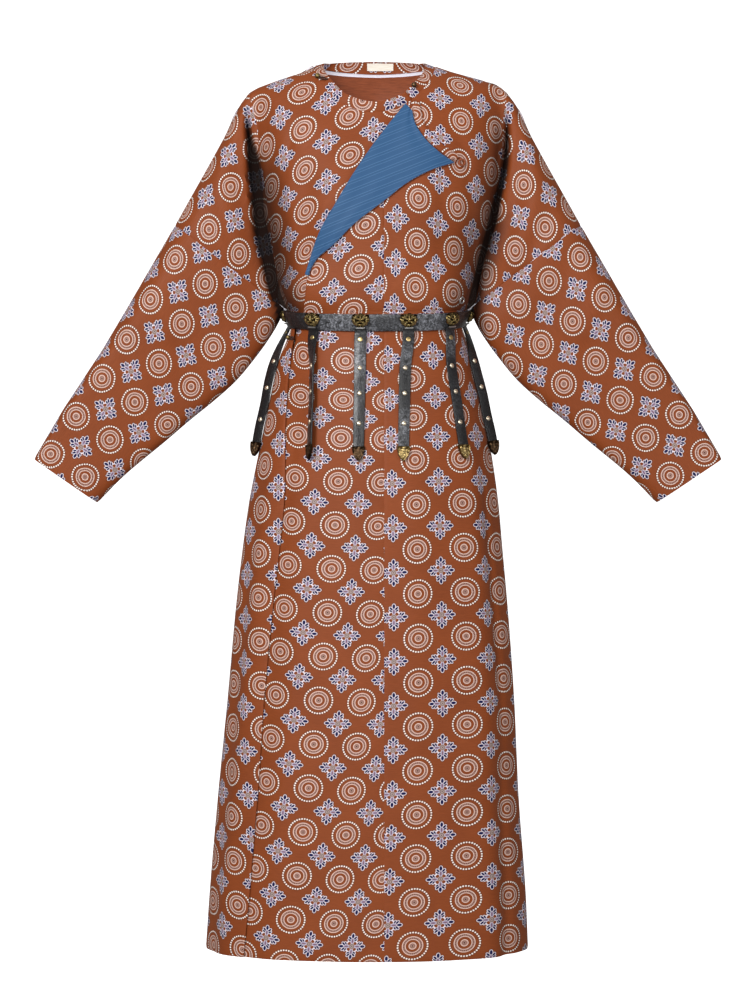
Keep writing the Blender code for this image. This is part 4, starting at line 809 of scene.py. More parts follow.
def add(tree, kind, inputs=(), out=None, **settings):  # one node with its settings and links
    node = tree.nodes.new(kind if "Node" in kind else "ShaderNode" + kind)
    for key, value in settings.items():
        setattr(node, key, value)
    for key, value in dict(inputs).items():
        if isinstance(value, bpy.types.NodeSocket):
            tree.links.new(value, node.inputs[key])
        else:
            node.inputs[key].default_value = value
    return node.outputs[out] if out else next(o for o in node.outputs if o.enabled)


def maths(tree, operation, *values, **settings):
    return add(tree, "Math", dict(enumerate(values)), operation=operation, **settings)


def vectors(tree, operation, *values, out=None):
    return add(tree, "VectorMath", dict(enumerate(values)), out, operation=operation)


def mixed(tree, share, under, over):
    return add(tree, "Mix", {0: share, 6: under, 7: over}, data_type="RGBA")


def newMaterial(name, fixed):
    made = bpy.data.materials.new(name)
    made.use_nodes = True
    shader = made.node_tree.nodes["Principled BSDF"]
    for key, value in fixed.items():
        shader.inputs[key].default_value = value
    return made, made.node_tree, shader


# Rust satin with a woven repeat: a soft silk-like gloss, near-white pearls and lilac flowers raised by their
# threads
# outline is the dark brown painted round the pearl ring and the flowers as the shade of their raised threads
satin = {
    "ground": "984B21", "groundDark": "823E1B", "outline": "57280F", "pearl": "FFF6EE", "band": "BC9182",
    "bandEdge": "F2D8CB", "grey": "6B443C", "dot": "4A281E", "navy": "14184C", "lilac": "EEE2E8",
    "slot": "7A3818",
    "stem": "9C94B4", "centre": "B09C96", "pearls": 34, "dashes": 30, "pearlRing": 20.3, "pearlSize": 1.25,
    "soft": 0.2, "dashRing": 11.9,
    # the last entry is the near-black colour painted into the deep folds as their shade
    "roughness": 0.56, "raised": 0.12, "slub": 0.05, "hollow": "080403",
}
roundelRings = {  # colour from each radius outwards, in mm; none is the ground
    "from": (0, 1.2, 2.2, 3.0, 4.5, 5.4, 9.3, 10.1, 13.6, 14.5),
    "colour": ("dot", "band", "grey", "band", "bandEdge", None, "bandEdge", "band", "bandEdge", None),
}
# one arm of the flower cross: place along and beside it, half length and width in mm, turn in degrees
petals = {
    "along": (16.0, 12.9, 9.6), "beside": (0.0, 4.0, 4.7), "long": (3.5, 3.0, 2.5), "wide": (2.1, 1.45, 1.2),
    "turn": (0, 45, 58), "edge": 0.95,
}
flower = {"stem": (8.2, 0, 4.8, 2.6, 0), "bridge": (6.3, 6.3, 4.2, 1.7, -45),
          "slot": (5.3, 5.3, 2.5, 0.95, -45), "vein": (8.4, 0, 3.1, 0.75, 0),
          "centre": 4.4, "ring": (2.5, 3.1), "dot": 0.8}


def satinMaterial():
    made, tree, shader = newMaterial("robeSatin", {"Specular IOR Level": 0.22, "Sheen Weight": 0.03,
                                                   "Sheen Roughness": 0.4, "Sheen Tint": linear("E8B48E")})
    threads = add(tree, "UVMap", uv_map="repeat")
    size = add(tree, "Attribute", out="Vector", attribute_name="motif")
    onCloth = vectors(tree, "MULTIPLY", threads, size)
    slub = add(tree, "TexNoise", {"Vector": vectors(tree, "MULTIPLY", onCloth, (0.07, 1.25, 1)),
                                  "Scale": 1.0, "Detail": 2.0, "Roughness": 0.6})
    broad = add(tree, "TexNoise", {"Vector": onCloth, "Scale": 0.012, "Detail": 2.0})
    blend = maths(tree, "MULTIPLY_ADD", slub, 0.75, maths(tree, "MULTIPLY", broad, 0.5))
    share = add(tree, "MapRange",
                {"Value": blend, "From Min": 0.35, "From Max": 0.85, "To Min": 0.0, "To Max": 1.0})
    colour = mixed(tree, share, linear(satin["ground"]), linear(satin["groundDark"]))

    # Roundels at the whole places of the repeat
    near = vectors(tree, "ADD", threads, (0.5, 0.5, 0))
    near = vectors(tree, "FRACTION", near)
    near = vectors(tree, "SUBTRACT", near, (0.5, 0.5, 0))
    near = vectors(tree, "MULTIPLY", near, size)
    radius = vectors(tree, "LENGTH", near, out="Value")
    apart = add(tree, "SeparateXYZ", {0: near}, out="X").node
    angle = maths(tree, "ARCTAN2", apart.outputs["Y"], apart.outputs["X"])
    rings = add(tree, "ValToRGB", {0: maths(tree, "DIVIDE", radius, 24.0)}).node
    stops = rings.color_ramp.elements
    before = None
    for k, (start, name) in enumerate(zip(roundelRings["from"], roundelRings["colour"])):
        value = linear(satin[name or "groundDark"])[:3] + (1.0 if name else 0.0,)
        if k:
            stops.new(max((start - satin["soft"]) / 24, 0)).color = before
            stops.new((start + satin["soft"]) / 24).color = value
        else:
            stops[0].color = value
        before = value
    stops[len(stops) - 1].color = before
    colour = mixed(tree, rings.outputs["Alpha"], colour, rings.outputs["Color"])
    onDash = maths(tree, "ABSOLUTE", maths(tree, "SUBTRACT", radius, satin["dashRing"]))
    onDash = add(tree, "MapRange", {"Value": onDash, "From Min": 1.15, "From Max": 0.75})
    gap = maths(tree, "MULTIPLY", angle, satin["dashes"] / math.tau)
    gap = maths(tree, "GREATER_THAN", maths(tree, "FRACT", gap), 0.32)
    onDash = maths(tree, "MULTIPLY", onDash, gap)
    colour = mixed(tree, onDash, colour, linear(satin["grey"]))
    step = maths(tree, "MULTIPLY", angle, satin["pearls"] / math.tau)
    step = maths(tree, "SUBTRACT", maths(tree, "FRACT", step), 0.5)
    side = maths(tree, "MULTIPLY", step, math.tau * satin["pearlRing"] / satin["pearls"])
    off = maths(tree, "SUBTRACT", radius, satin["pearlRing"])
    bead = vectors(tree, "LENGTH", add(tree, "CombineXYZ", {0: side, 1: off}), out="Value")
    pearl = add(tree, "MapRange", {"Value": bead, "From Min": satin["pearlSize"] + satin["soft"],
                                   "From Max": satin["pearlSize"] - satin["soft"]})
    # painted shade: a half-strength dark band round the pearl ring
    belt = add(tree, "MapRange", {"Value": maths(tree, "ABSOLUTE", off), "From Min": 2.5, "From Max": 1.5})
    colour = mixed(tree, maths(tree, "MULTIPLY", belt, 0.5), colour, linear(satin["outline"]))
    colour = mixed(tree, pearl, colour, linear(satin["pearl"]))

    # Flower crosses at the half places, their four arms folded into one
    near = vectors(tree, "FRACTION", threads)
    near = vectors(tree, "SUBTRACT", near, (0.5, 0.5, 0))
    near = vectors(tree, "MULTIPLY", near, size)
    near = vectors(tree, "ABSOLUTE", near)
    apart = add(tree, "SeparateXYZ", {0: near}, out="X").node
    along = maths(tree, "MAXIMUM", apart.outputs["X"], apart.outputs["Y"])
    beside = maths(tree, "MINIMUM", apart.outputs["X"], apart.outputs["Y"])
    arm = add(tree, "CombineXYZ", {0: along, 1: beside})
    leaves = [(petals["along"][k], petals["beside"][k], petals["long"][k], petals["wide"][k],
               petals["turn"][k])
              for k in range(3)]
    masks = {}
    for name, shapes, wider in (("navy", leaves, 0), ("lilac", leaves, petals["edge"]),
                                ("bridge", [flower["bridge"]], 0),
                                ("stem", [flower["stem"]], 0), ("slot", [flower["slot"]], 0),
                                ("vein", [flower["vein"]], 0)):
        least = None
        for x, y, half, thin, turn in shapes:
            spot = add(tree, "Mapping",
                       {"Vector": arm, "Location": (x, y, 0), "Rotation": (0, 0, math.radians(turn)),
                        "Scale": (half + wider, thin + wider, 1)}, vector_type="TEXTURE")
            away = vectors(tree, "LENGTH", spot, out="Value")
            least = away if least is None else maths(tree, "MINIMUM", least, away)
        masks[name] = least
    fromMiddle = vectors(tree, "LENGTH", arm, out="Value")
    middle = add(tree, "MapRange", {"Value": fromMiddle, "From Min": flower["centre"] + 0.3,
                                    "From Max": flower["centre"] - 0.3})
    # the first mix paints the dark outline round the lilac flower as its shade
    for name, tint, low, high, most in (("lilac", "outline", 1.35, 1.15, 0.7),
                                        ("bridge", "lilac", 1.1, 0.9, 1.0),
                                        ("lilac", "lilac", 1.06, 0.94, 1.0), ("stem", "lilac", 1.1, 1.0, 1.0),
                                        ("stem", "stem", 0.95, 0.7, 1.0), ("slot", "slot", 1.15, 0.85, 1.0),
                                        ("vein", "slot", 1.15, 0.85, 0.8),
                                        ("navy", "navy", 1.1, 0.88, 1.0)):
        share = add(tree, "MapRange",
                    {"Value": masks[name], "From Min": low, "From Max": high, "To Max": most})
        colour = mixed(tree, share, colour, linear(satin[tint]))
        if tint == "lilac":
            raised = share
    colour = mixed(tree, middle, colour, linear(satin["centre"]))
    for low, high in (flower["ring"], (-1, flower["dot"])):
        inside = add(tree, "MapRange",
                     {"Value": maths(tree, "ABSOLUTE", maths(tree, "SUBTRACT", fromMiddle, (low + high) / 2)),
                      "From Min": (high - low) / 2 + 0.2,
                     "From Max": (high - low) / 2 - 0.2})
        colour = mixed(tree, inside, colour, linear(satin["dot"]))

    # painted shade: the shade attribute darkens the colour to near black in the deep folds and beside them,
    # and makes the cloth rough there
    shade = add(tree, "Attribute", out="Fac", attribute_name="shade")
    colour = mixed(tree, shade, colour, linear(satin["hollow"]))
    thread = maths(tree, "MAXIMUM", maths(tree, "MAXIMUM", raised, pearl), rings.outputs["Alpha"])
    low = add(tree, "Bump", {"Height": slub, "Strength": 0.35, "Distance": satin["slub"] / 1000})
    bump = add(tree, "Bump",
               {"Height": thread, "Strength": 0.6, "Distance": satin["raised"] / 1000, "Normal": low})
    rough = maths(tree, "MULTIPLY_ADD", slub, 0.22, satin["roughness"] - 0.08)
    rough = maths(tree, "MAXIMUM", rough, shade)
    tree.links.new(colour, shader.inputs["Base Color"])
    tree.links.new(rough, shader.inputs["Roughness"])
    tree.links.new(bump, shader.inputs["Normal"])
    return made


clothTones = {  # light and dark thread, thread spacing in mm, roughness, bump height in mm
    "collarSatin": ("9C512E", "7F4022", 0.9, 0.5, 0.06),  # plain strip of the same rust satin
    "whiteLining": ("DEDBE2", "D6D3DB", 0.8, 0.62, 0.03),  # smooth thin lining, given a painted glow as though lit through
    "labelRibbon": ("FBF4E6", "EADFCC", 0.7, 0.7, 0.05),  # matt woven ribbon, blank, given a faint painted glow
    "buttonCord": ("4A2A1E", "2E1811", 0.6, 0.6, 0.1),  # dark brown corded silk of the loops and tabs
}


def plainCloth(name):
    light, dark, spacing, rough, raised = clothTones[name]
    # painted glow: the lining and the label emit light of their own colour
    paintedGlow = {"whiteLining": 0.22, "labelRibbon": 0.1}.get(name, 0.0)
    made, tree, shader = newMaterial(name,
                                     {"Roughness": rough, "Specular IOR Level": 0.3, "Sheen Weight": 0.1,
                                      "Emission Color": linear(light), "Emission Strength": paintedGlow})
    place = add(tree, "TexCoord", out="Object")
    warp = add(tree, "TexNoise",
               {"Vector": vectors(tree, "MULTIPLY", place, (60 / spacing, 60 / spacing, 900 / spacing)),
                "Scale": 1.0, "Detail": 2.0})
    share = add(tree, "MapRange", {"Value": warp, "From Min": 0.3, "From Max": 0.7})
    tree.links.new(mixed(tree, share, linear(light), linear(dark)),
                   shader.inputs["Base Color"])
    tree.links.new(add(tree, "Bump", {"Height": warp, "Strength": 0.4, "Distance": raised / 1000}),
                   shader.inputs["Normal"])
    return made


ribs = {"light": "507DA8", "mid": "2D5985", "dark": "244B74", "apart": 11.6, "rise": 22}


def ribbedMaterial():  # blue underside with pairs of fine ribs that rise to the wearer's left
    made, tree, shader = newMaterial("blueRibbedLining",
                                     {"Roughness": 0.6, "Specular IOR Level": 0.3, "Sheen Weight": 0.15})
    place = add(tree, "TexCoord", out="Object")
    turned = add(tree, "Mapping", {"Vector": place, "Rotation": (0, math.radians(ribs["rise"]), 0)})
    level = add(tree, "SeparateXYZ", {0: turned}, out="Z")
    wave = add(tree, "TexNoise", {"Vector": turned, "Scale": 22.0, "Detail": 1.0})
    level = maths(tree, "MULTIPLY_ADD", wave, 0.0016, level)
    step = maths(tree, "FRACT", maths(tree, "MULTIPLY", level, 1000 / ribs["apart"]))
    line = add(tree, "ValToRGB", {0: step}).node
    line.color_ramp.elements[0].color = linear(ribs["mid"])
    line.color_ramp.elements[1].color = linear(ribs["mid"])
    for at, tone in ((0.1, "mid"), (0.13, "dark"), (0.18, "light"), (0.24, "mid"), (0.4, "mid"),
                     (0.44, "dark"),
                     (0.5, "light"), (0.57, "mid")):
        line.color_ramp.elements.new(at).color = linear(ribs[tone])
    fineGrain = add(tree, "TexNoise", {"Vector": place, "Scale": 900.0, "Detail": 1.0})
    colour = mixed(tree, maths(tree, "MULTIPLY", fineGrain, 0.35), line.outputs["Color"],
                   linear(ribs["dark"]))
    tree.links.new(colour, shader.inputs["Base Color"])
    tree.links.new(add(tree, "Bump",
                       {"Height": add(tree, "RGBToBW", {0: line.outputs["Color"]}), "Strength": 0.7,
                        "Distance": 0.0006}), shader.inputs["Normal"])
    return made


# grey is the colour of the marks painted on the leather as highlights
leather = {"black": "09090B", "grey": "9A9CA4", "patch": 130.0, "speck": 430.0, "grain": 700.0,
           "crease": 300.0}


def leatherMaterial():  # waxed black leather: smoky grey marks painted on a glossy skin as highlights, glossiest in the marks
    made, tree, shader = newMaterial("waxedLeather", {"Specular IOR Level": 0.42, "Coat Weight": 0.22,
                                                      "Coat Roughness": 0.18})
    place = add(tree, "TexCoord", out="Object")
    blotches = add(tree, "TexNoise",
                   {"Vector": place, "Scale": leather["patch"], "Detail": 5.0, "Roughness": 0.65,
                                    "Distortion": 1.2})
    worn = add(tree, "Attribute", out="Fac", attribute_name="worn")
    speck = add(tree, "TexNoise", {"Vector": place, "Scale": leather["speck"], "Detail": 2.0})
    speck = add(tree, "MapRange",
                {"Value": speck, "From Min": 0.4, "From Max": 0.66, "To Min": 0.3, "To Max": 1.2})
    # painted highlights: grey where the blotches, the specks and the mesh's painted sheen values meet
    paintedSheenMask = add(tree, "MapRange", {"Value": blotches, "From Min": 0.36, "From Max": 0.68, "To Min": 0.03})
    paintedSheenMask = maths(tree, "MULTIPLY", paintedSheenMask, speck, use_clamp=True)
    paintedSheenMask = maths(tree, "MULTIPLY", paintedSheenMask, worn)
    grain = add(tree, "TexVoronoi", {"Vector": place, "Scale": leather["grain"]}, out="Distance")
    crease = add(tree, "TexNoise",
                 {"Vector": place, "Scale": leather["crease"], "Detail": 3.0, "Distortion": 1.6})
    colour = mixed(tree, paintedSheenMask, linear(leather["black"]), linear(leather["grey"]))
    tree.links.new(colour, shader.inputs["Base Color"])
    tree.links.new(add(tree, "MapRange", {"Value": blotches, "From Min": 0.35, "From Max": 0.7,
                                          "To Min": 0.46, "To Max": 0.24}),
                   shader.inputs["Roughness"])
    dents = add(tree, "Bump", {"Height": crease, "Strength": 0.75, "Distance": 0.0012})
    tree.links.new(add(tree, "Bump", {"Height": grain, "Strength": 0.3, "Distance": 0.0002, "Normal": dents}),
                   shader.inputs["Normal"])
    return made


metalTones = {  # bright, dark in the hollows, roughness on the high places and in the hollows
    "antiqueBrass": ("AD9763", "0F0A05", 0.27, 0.6),
    "brightBrass": ("D9BE82", "5A4522", 0.28, 0.5),
    "paleGoldStud": ("F7E8CE", "A08560", 0.3, 0.45),
    "darkBronze": ("7C6248", "2A1D12", 0.42, 0.55),
    "silverWire": ("C9C8C6", "77767A", 0.26, 0.4),
}


def metalMaterial(name):  # cast metal with dark wax left in its hollows
    bright, dark, high, low = metalTones[name]
    made, tree, shader = newMaterial(name, {"Metallic": 1.0})
    relief = add(tree, "Attribute", out="Fac", attribute_name="relief")
    place = add(tree, "TexCoord", out="Object")
    speck = add(tree, "TexNoise", {"Vector": place, "Scale": 420.0, "Detail": 3.0})
    share = maths(tree, "MULTIPLY_ADD", maths(tree, "SUBTRACT", speck, 0.5), 0.7, relief, use_clamp=True)
    tree.links.new(mixed(tree, share, linear(dark), linear(bright)),
                   shader.inputs["Base Color"])
    tree.links.new(add(tree, "MapRange", {"Value": share, "To Min": low, "To Max": high}),
                   shader.inputs["Roughness"])
    tree.links.new(add(tree, "Bump", {"Height": speck, "Strength": 0.3, "Distance": 0.0001}),
                   shader.inputs["Normal"])
    return made


finish = {name: plainCloth(name) for name in clothTones}
finish.update({name: metalMaterial(name) for name in metalTones})
finish.update({"satin": satinMaterial(), "ribbed": ribbedMaterial(), "leather": leatherMaterial()})
print("materials ready:", len(finish))


# Cloth pieces. Flat cut of each: width and length in metres, and the share of that rectangle that is cloth
cuts = {
    "bodyRight": (0.62, 1.86, "body_right"), "bodyLeft": (0.62, 1.86, "body_left"),
    "sleeveRight": (0.42, 0.56, "sleeve_right"), "sleeveLeft": (0.42, 0.56, "sleeve_left"),
    "frontOverlap": (0.27, 1.26, "front_overlap"), "innerOverlap": (0.17, 1.28, "inner_overlap"),
    "sideLap": (0.24, 0.96, "side_lap"),
}
torsoCount = len(acrossTorso) - 1


def declare(piece, area, cut):
    width, length, node = cuts[cut]
    share = area / (width * length)
    width *= share / 0.96 if share > 0.96 else min(1, share / 0.4)
    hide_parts(node)
    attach(piece, "root")
    print(piece.name, len(piece.data.polygons), "faces,", round(area, 4), "m2 of cloth, cut from",
          round(width, 3), "x", length)


def bodyPanels(side, front, back, skirt, levels, turns):
    name = "Right" if side == "right" else "Left"
    flip = side == "right"
    split = torsoCount
    frontArm, backArm = armArc(side, "front"), armArc(side, "back")
    chest = "chest" + name
    panels = [panel(front[:, :split + 1],
                    repeatAt(chest, chestFlat(chestRaster["front"], front[:, :split + 1])),
                    lattice[chest]["motif"], flip, hollowAt(front[:, :split + 1], "front")),
              panel(front[:, split:], repeatAt("arm" + name, armFlat(frontArm, side, front[:, split:])),
                    lattice["arm" + name]["motif"], flip, hollowAt(front[:, split:], "front")),
              panel(back[:, :split + 1],
                    repeatAt("chestBack", chestFlat(chestRaster["back"], back[:, :split + 1])),
                    lattice["chestBack"]["motif"], not flip, hollowAt(back[:, :split + 1], "back")),
              panel(back[:, split:],
                    overFold("arm" + name, armFlat(backArm, side, back[:, split:]), armAxis["fold"]),
                    lattice["arm" + name]["motif"], not flip, hollowAt(back[:, split:], "back"))]
    onRing = ringArc(levels, turns)
    below = "skirtLeft" if side == "left" else "skirtBack"
    panels.append(panel(skirt, repeatAt(below, onRing), lattice[below]["motif"], flip))
    return panels


chestRaster = {face: chestArc(face) for face in ("front", "back")}
rightFront, rightTurns = upperSheet("right", "front", False)
leftFront, leftTurns = upperSheet("left", "front", True)
rightBack, leftBack = upperSheet("right", "back", False)[0], upperSheet("left", "back", False)[0]
rightSkirt = skirtSheet("right", form["innerSeam"], False, rightTurns)
leftSkirt = skirtSheet("left", form["outerSeam"], True, leftTurns)
blue, white = finish["ribbed"], finish["whiteLining"]
for cut, side, front, back, skirt in (("bodyRight", "right", rightFront, rightBack, rightSkirt),
                                      ("bodyLeft", "left", leftFront, leftBack, leftSkirt)):
    piece, area = clothShell(cut, bodyPanels(side, front, back, *skirt), form["cloth"], finish["satin"],
                             white)
    declare(piece, area, cut)
    sleeve = sleeveSheet(side, front, back)
    key = "sleeve" + side.capitalize()
    panels = []
    for face, grid in zip(("front", "back"), sleeve):
        flat = armFlat(armArc(side, face), side, grid)
        repeat = repeatAt(key, flat) if face == "front" else overFold(key, flat, armAxis["fold"])
        panels.append(panel(grid, repeat, lattice[key]["motif"], (side == "right") == (face == "front"),
                            hollowAt(grid, face)))
    piece, area = clothShell(key, panels, form["cloth"], finish["satin"], white)
    declare(piece, area, key)

above, below, levels, turns = frontOverlapSheets(leftFront, leftSkirt[0])
piece, area = clothShell("frontOverlap", [
    panel(above, repeatAt("overAbove", chestFlat(chestRaster["front"], above)), lattice["overAbove"]["motif"],
          True),
    panel(below, repeatAt("overBelow", ringArc(levels, turns)), lattice["overBelow"]["motif"], True)],
    form["cloth"], finish["satin"], blue)
declare(piece, area, "frontOverlap")
innerAbove, below, levels, turns = innerOverlapSheets(rightFront, rightSkirt[0])
piece, area = clothShell("innerOverlap", [
    panel(innerAbove, repeatAt("chestRight", chestFlat(chestRaster["front"], innerAbove)),
          lattice["chestRight"]["motif"]),
    panel(below, repeatAt("skirtBack", ringArc(levels, turns)), lattice["skirtBack"]["motif"])],
    form["cloth"], finish["satin"], blue)
declare(piece, area, "innerOverlap")
grid, levels, turns = lapSheet()
piece, area = clothShell("sideLap",
                         [panel(grid, repeatAt("lap", ringArc(levels, turns)), lattice["lap"]["motif"])],
                         form["cloth"], finish["satin"], blue)
declare(piece, area, "sideLap")
print("cloth panels made")


# Collar strip, turned-out corner of the front, lining and label inside the neck
trim = {
    "collar": 2.2, "bulge": 0.6, "rows": 8, "biasFrom": -21.6, "biasPitch": 66.0, "turned": 3.6,
    "turnedThick": 1.6, "facing": 4.9, "facingThick": 0.9, "band": 5.1, "bandThick": 2.4, "bandWide": 13,
    "part": 1.1, "top": (45, -57),
    "liningIn": 2.0, "liningThick": 1.0, "labelThick": 0.6, "labelWide": (-15, 25), "labelTall": (0.3, 0.9),
}
neckLast = int(np.searchsorted(acrossTorso, 0.6 - 1e-9))
neckPart = int(np.searchsorted(acrossTorso, 0.3 - 1e-9))


def unit(v):
    return v / np.maximum(np.linalg.norm(v, axis=-1, keepdims=True), 1e-9)


def gridNormals(grid):  # to the right-hand side of down and across
    return unit(np.cross(np.gradient(grid, axis=0), np.gradient(grid, axis=1)))


def collarGrid():
    onNeck = acrossTorso[:neckLast + 1] / 0.6
    fromPart = (onNeck[neckPart:] - 0.5) / 0.5
    seam = np.concatenate([innerAbove[0, ::-1], rightFront[0, 1:neckLast + 1], rightBack[0, neckLast - 1::-1],
                           leftBack[0, 1:neckLast + 1], leftFront[0, neckLast - 1:neckPart - 1:-1]])
    inner = 0.5 + (form["innerTurn"] - 0.5) * np.linspace(0, 1, fine["inner"] + 1)
    fromBack = 180 - (180 - form["shoulderTurn"]) * onNeck
    onLapel = form["lapelTurn"] + (form["shoulderTurn"] - form["lapelTurn"]) * fromPart
    turns = np.concatenate([inner[::-1], -(0.5 + (form["shoulderTurn"] - 0.5) * onNeck[1:]),
                            -fromBack[:-1][::-1], fromBack[1:], onLapel[-2::-1]])
    lift = np.zeros(len(turns))
    last = len(onLapel) - 1
    lift[-last:] = outerLift(seam[-last:, 0], seam[-last:, 2])
    x = through(neckLine["turn"], neckLine["edgeX"], np.abs(turns)) * np.sign(turns)
    x = x + neckLine["shift"] * ease(180, 168, np.abs(turns))
    y = through(neckLine["turn"], neckLine["edgeY"], np.abs(turns)) - lift
    edge = np.stack([x, y, through(neckLine["turn"], neckLine["edgeZ"], np.abs(turns))], axis=-1)
    share = np.linspace(0, 1, trim["rows"] + 1)[:, None, None]
    grid = edge + (seam - edge) * share
    grid[-1] += (grid[-1] - grid[-2]) * 0.25
    return grid - gridNormals(grid) * trim["bulge"] * np.sin(np.pi * share)


# strip cut across the threads, so roundels and crosses follow one another along it
def biasRepeat(grid, start):
    run = np.concatenate([[0], np.cumsum(np.linalg.norm(np.diff(grid[0], axis=0), axis=1))])
    fall = np.concatenate([np.zeros((1, grid.shape[1])),
                           np.cumsum(np.linalg.norm(np.diff(grid, axis=0), axis=2), axis=0)])
    a, b = run[None, :] - start + 0 * fall, fall - 1
    return np.stack([a + b, b - a], axis=-1) / math.sqrt(2) / trim["biasPitch"]


cuts.update({"collarBand": (0.05, 0.62, "collar_band"), "lapelTurned": (0.16, 0.34, "lapel_turned"),
             "lapelFacing": (0.16, 0.34, "lapel_facing"), "lapelBand": (0.03, 0.16, "lapel_band"),
             "neckLining": (0.2, 0.12, "neck_lining"), "neckLabel": (0.042, 0.013, "label")})
collar = collarGrid()
runAt = np.cumsum(np.linalg.norm(np.diff(collar[0], axis=0), axis=1))
onFront = fine["inner"] + np.abs(collar[0, fine["inner"]:fine["inner"] + neckLast, 0]
                                 - trim["biasFrom"]).argmin()
piece, area = clothShell("collarBand",
                         [panel(collar, biasRepeat(collar, runAt[onFront - 1]), (66, 66), True)],
                         trim["collar"], finish["satin"], finish["satin"], 0.6)
declare(piece, area, "collarBand")


def lapelCurves(onNeck, onFront):
    neck, front = np.linspace(0, 1, onNeck + 1), np.linspace(0, 1, onFront + 1)[1:]
    free = np.concatenate([along(lapelNeck["x"], lapelNeck["z"], neck),
                           along(lapelFront["x"], lapelFront["z"], front)])
    run = np.concatenate([[0], np.cumsum(np.linalg.norm(np.diff(free, axis=0), axis=1))])
    xs, zs = (trim["top"][0],) + lapelFold["x"][1:], (trim["top"][1],) + lapelFold["z"][1:]
    return along(xs, zs, run / run[-1]), free


def lapelGrid(height, curl):  # flap over the outer front; its cloth curls over from behind the fold
    fold, free = lapelCurves(18, 46)
    free = free.copy()
    free[-1] = fold[-1] + (3, 1.5)
    tangent = np.gradient(fold, axis=0)
    away = -unit(np.stack([tangent[:, 1], -tangent[:, 0]], axis=-1))
    away *= np.sign((away * (fold - free)).sum(1) + 1e-9)[:, None]
    middle = (trim["turned"] - trim["turnedThick"]) / 2
    columns = []
    for angle in np.radians(curl):
        spot = fold + away * (trim["part"] + (height - middle) * math.sin(angle))
        lift = middle - (height - middle) * math.cos(angle)
        columns.append(sheetPoint(fold[:, 0], fold[:, 1], "front", outerLift(fold[:, 0], fold[:, 1]) + lift))
        columns[-1][:, [0, 2]] = spot
    for share in np.linspace(0, 1, 17)[1:]:
        spot = fold + (free - fold) * share
        wave = 0.9 * np.sin(9 * share + 0.02 * spot[:, 1]) * math.sin(math.pi * share) ** 2
        columns.append(sheetPoint(spot[:, 0], spot[:, 1], "front",
                                  outerLift(spot[:, 0], spot[:, 1]) + height + wave))
    return np.stack(columns, axis=1)


turned = lapelGrid(trim["turned"], np.linspace(15, 165, 9))
piece, area = clothShell("lapelTurned", [panel(turned)], trim["turnedThick"], finish["satin"],
                         finish["satin"], 0.5)
declare(piece, area, "lapelTurned")
facing = lapelGrid(trim["facing"], np.linspace(110, 165, 5))
piece, area = clothShell("lapelFacing", [panel(facing)], trim["facingThick"], blue, blue, 0.4)
declare(piece, area, "lapelFacing")

inner = along((50,) + lapelNeck["x"], (-52,) + lapelNeck["z"], np.linspace(0, 1, 34))
tangent = np.gradient(inner, axis=0)
away = unit(np.stack([-tangent[:, 1], tangent[:, 0]], axis=-1))
shares = np.linspace(0, 1, 9)
spots = inner[:, None] + away[:, None] * (1.4 + (trim["bandWide"] - 1.4) * shares)[None, :, None]
swell = 0.8 * np.sin(np.pi * shares) + 0 * spots[..., 0]
band = sheetPoint(spots[..., 0], spots[..., 1], "front",
                  outerLift(spots[..., 0], spots[..., 1]) + trim["band"] - 0.4 + swell)
strip = band.transpose(1, 0, 2)
piece, area = clothShell("lapelBand", [panel(strip, biasRepeat(strip, 22), (66, 66), True)],
                         trim["bandThick"],
                         finish["satin"], finish["satin"], 0.8)
declare(piece, area, "lapelBand")

low = int(np.searchsorted(down, rowsEased(14)[5]))
high = int(np.searchsorted(down, rowsEased(14)[1]))
backUpper = np.concatenate([rightBack[high:low + 1, neckLast:0:-1], leftBack[high:low + 1, :neckLast + 1]],
                           axis=1)
lining = backUpper - gridNormals(backUpper) * -trim["liningIn"]
lining[..., 1] -= 0.5 * np.exp(-((lining[..., 0] / 2.5) ** 2))
piece, area = clothShell("neckLining", [panel(lining, flip=True)], trim["liningThick"], white,
                         finish["collarSatin"], 0.3)
declare(piece, area, "neckLining")

backOf = slice(fine["inner"] + 2 * neckLast - 20, fine["inner"] + 2 * neckLast + 21)
inside = collar[:, backOf] + gridNormals(collar[:, backOf]) * (trim["collar"] + 0.3)
order = np.argsort(inside[0, :, 0])
rows = []
for share in np.linspace(*trim["labelTall"], 7)[::-1]:
    line = inside[-1] + (inside[0] - inside[-1]) * share
    xs = np.linspace(*trim["labelWide"], 17)
    rows.append(np.stack([xs] + [np.interp(xs, line[order, 0], line[order, k]) for k in (1, 2)], axis=-1))
piece, area = clothShell("neckLabel", [panel(np.array(rows), flip=True)], trim["labelThick"],
                         finish["labelRibbon"],
                         finish["labelRibbon"], 0.2)
declare(piece, area, "neckLabel")
print("collar, turned-out corner, lining and label made")


# Belt, its six bosses and the straps that hang from them
belt = {"top": -352.8, "bottom": -378.0, "clear": 1.1, "thick": 3.0, "bossClear": 0.4}
strap = {
    "beltX": (-129, -86, -22, 42, 100, 131), "topX": (-129, -87, -23, 40, 98, 131),
    "tipX": (-171, -93, -26, 37, 121, 171), "end": (-554, -559, -561, -561, -558, -552),
    "twist": (-36, 48, 0, 0, 0, 36),
    "wide": (17.6, 16.2), "thick": 2.4, "clear": 0.6, "below": -14.2, "out": 1.2, "fade": 0.3, "top": -381,
    "rows": 56,
    # grey highlights painted along each strap: share down it, reach, strength
    "worn": (((0.2, 0.1, 0.1),), ((0.3, 0.1, 0.12),), ((0.22, 0.12, 1.0), (0.55, 0.2, 0.16)),
             ((0.17, 0.1, 0.8), (0.82, 0.16, 0.75)), ((0.12, 0.09, 0.6), (0.6, 0.2, 0.18)),
             ((0.4, 0.2, 0.08),)),
    "rivet": 0.045, "studs": (0.29, 0.525, 0.8), "over": 6.0,
    "tips": ("darkBronze", "darkBronze", "darkBronze", "brightBrass", "brightBrass", "darkBronze"),
}


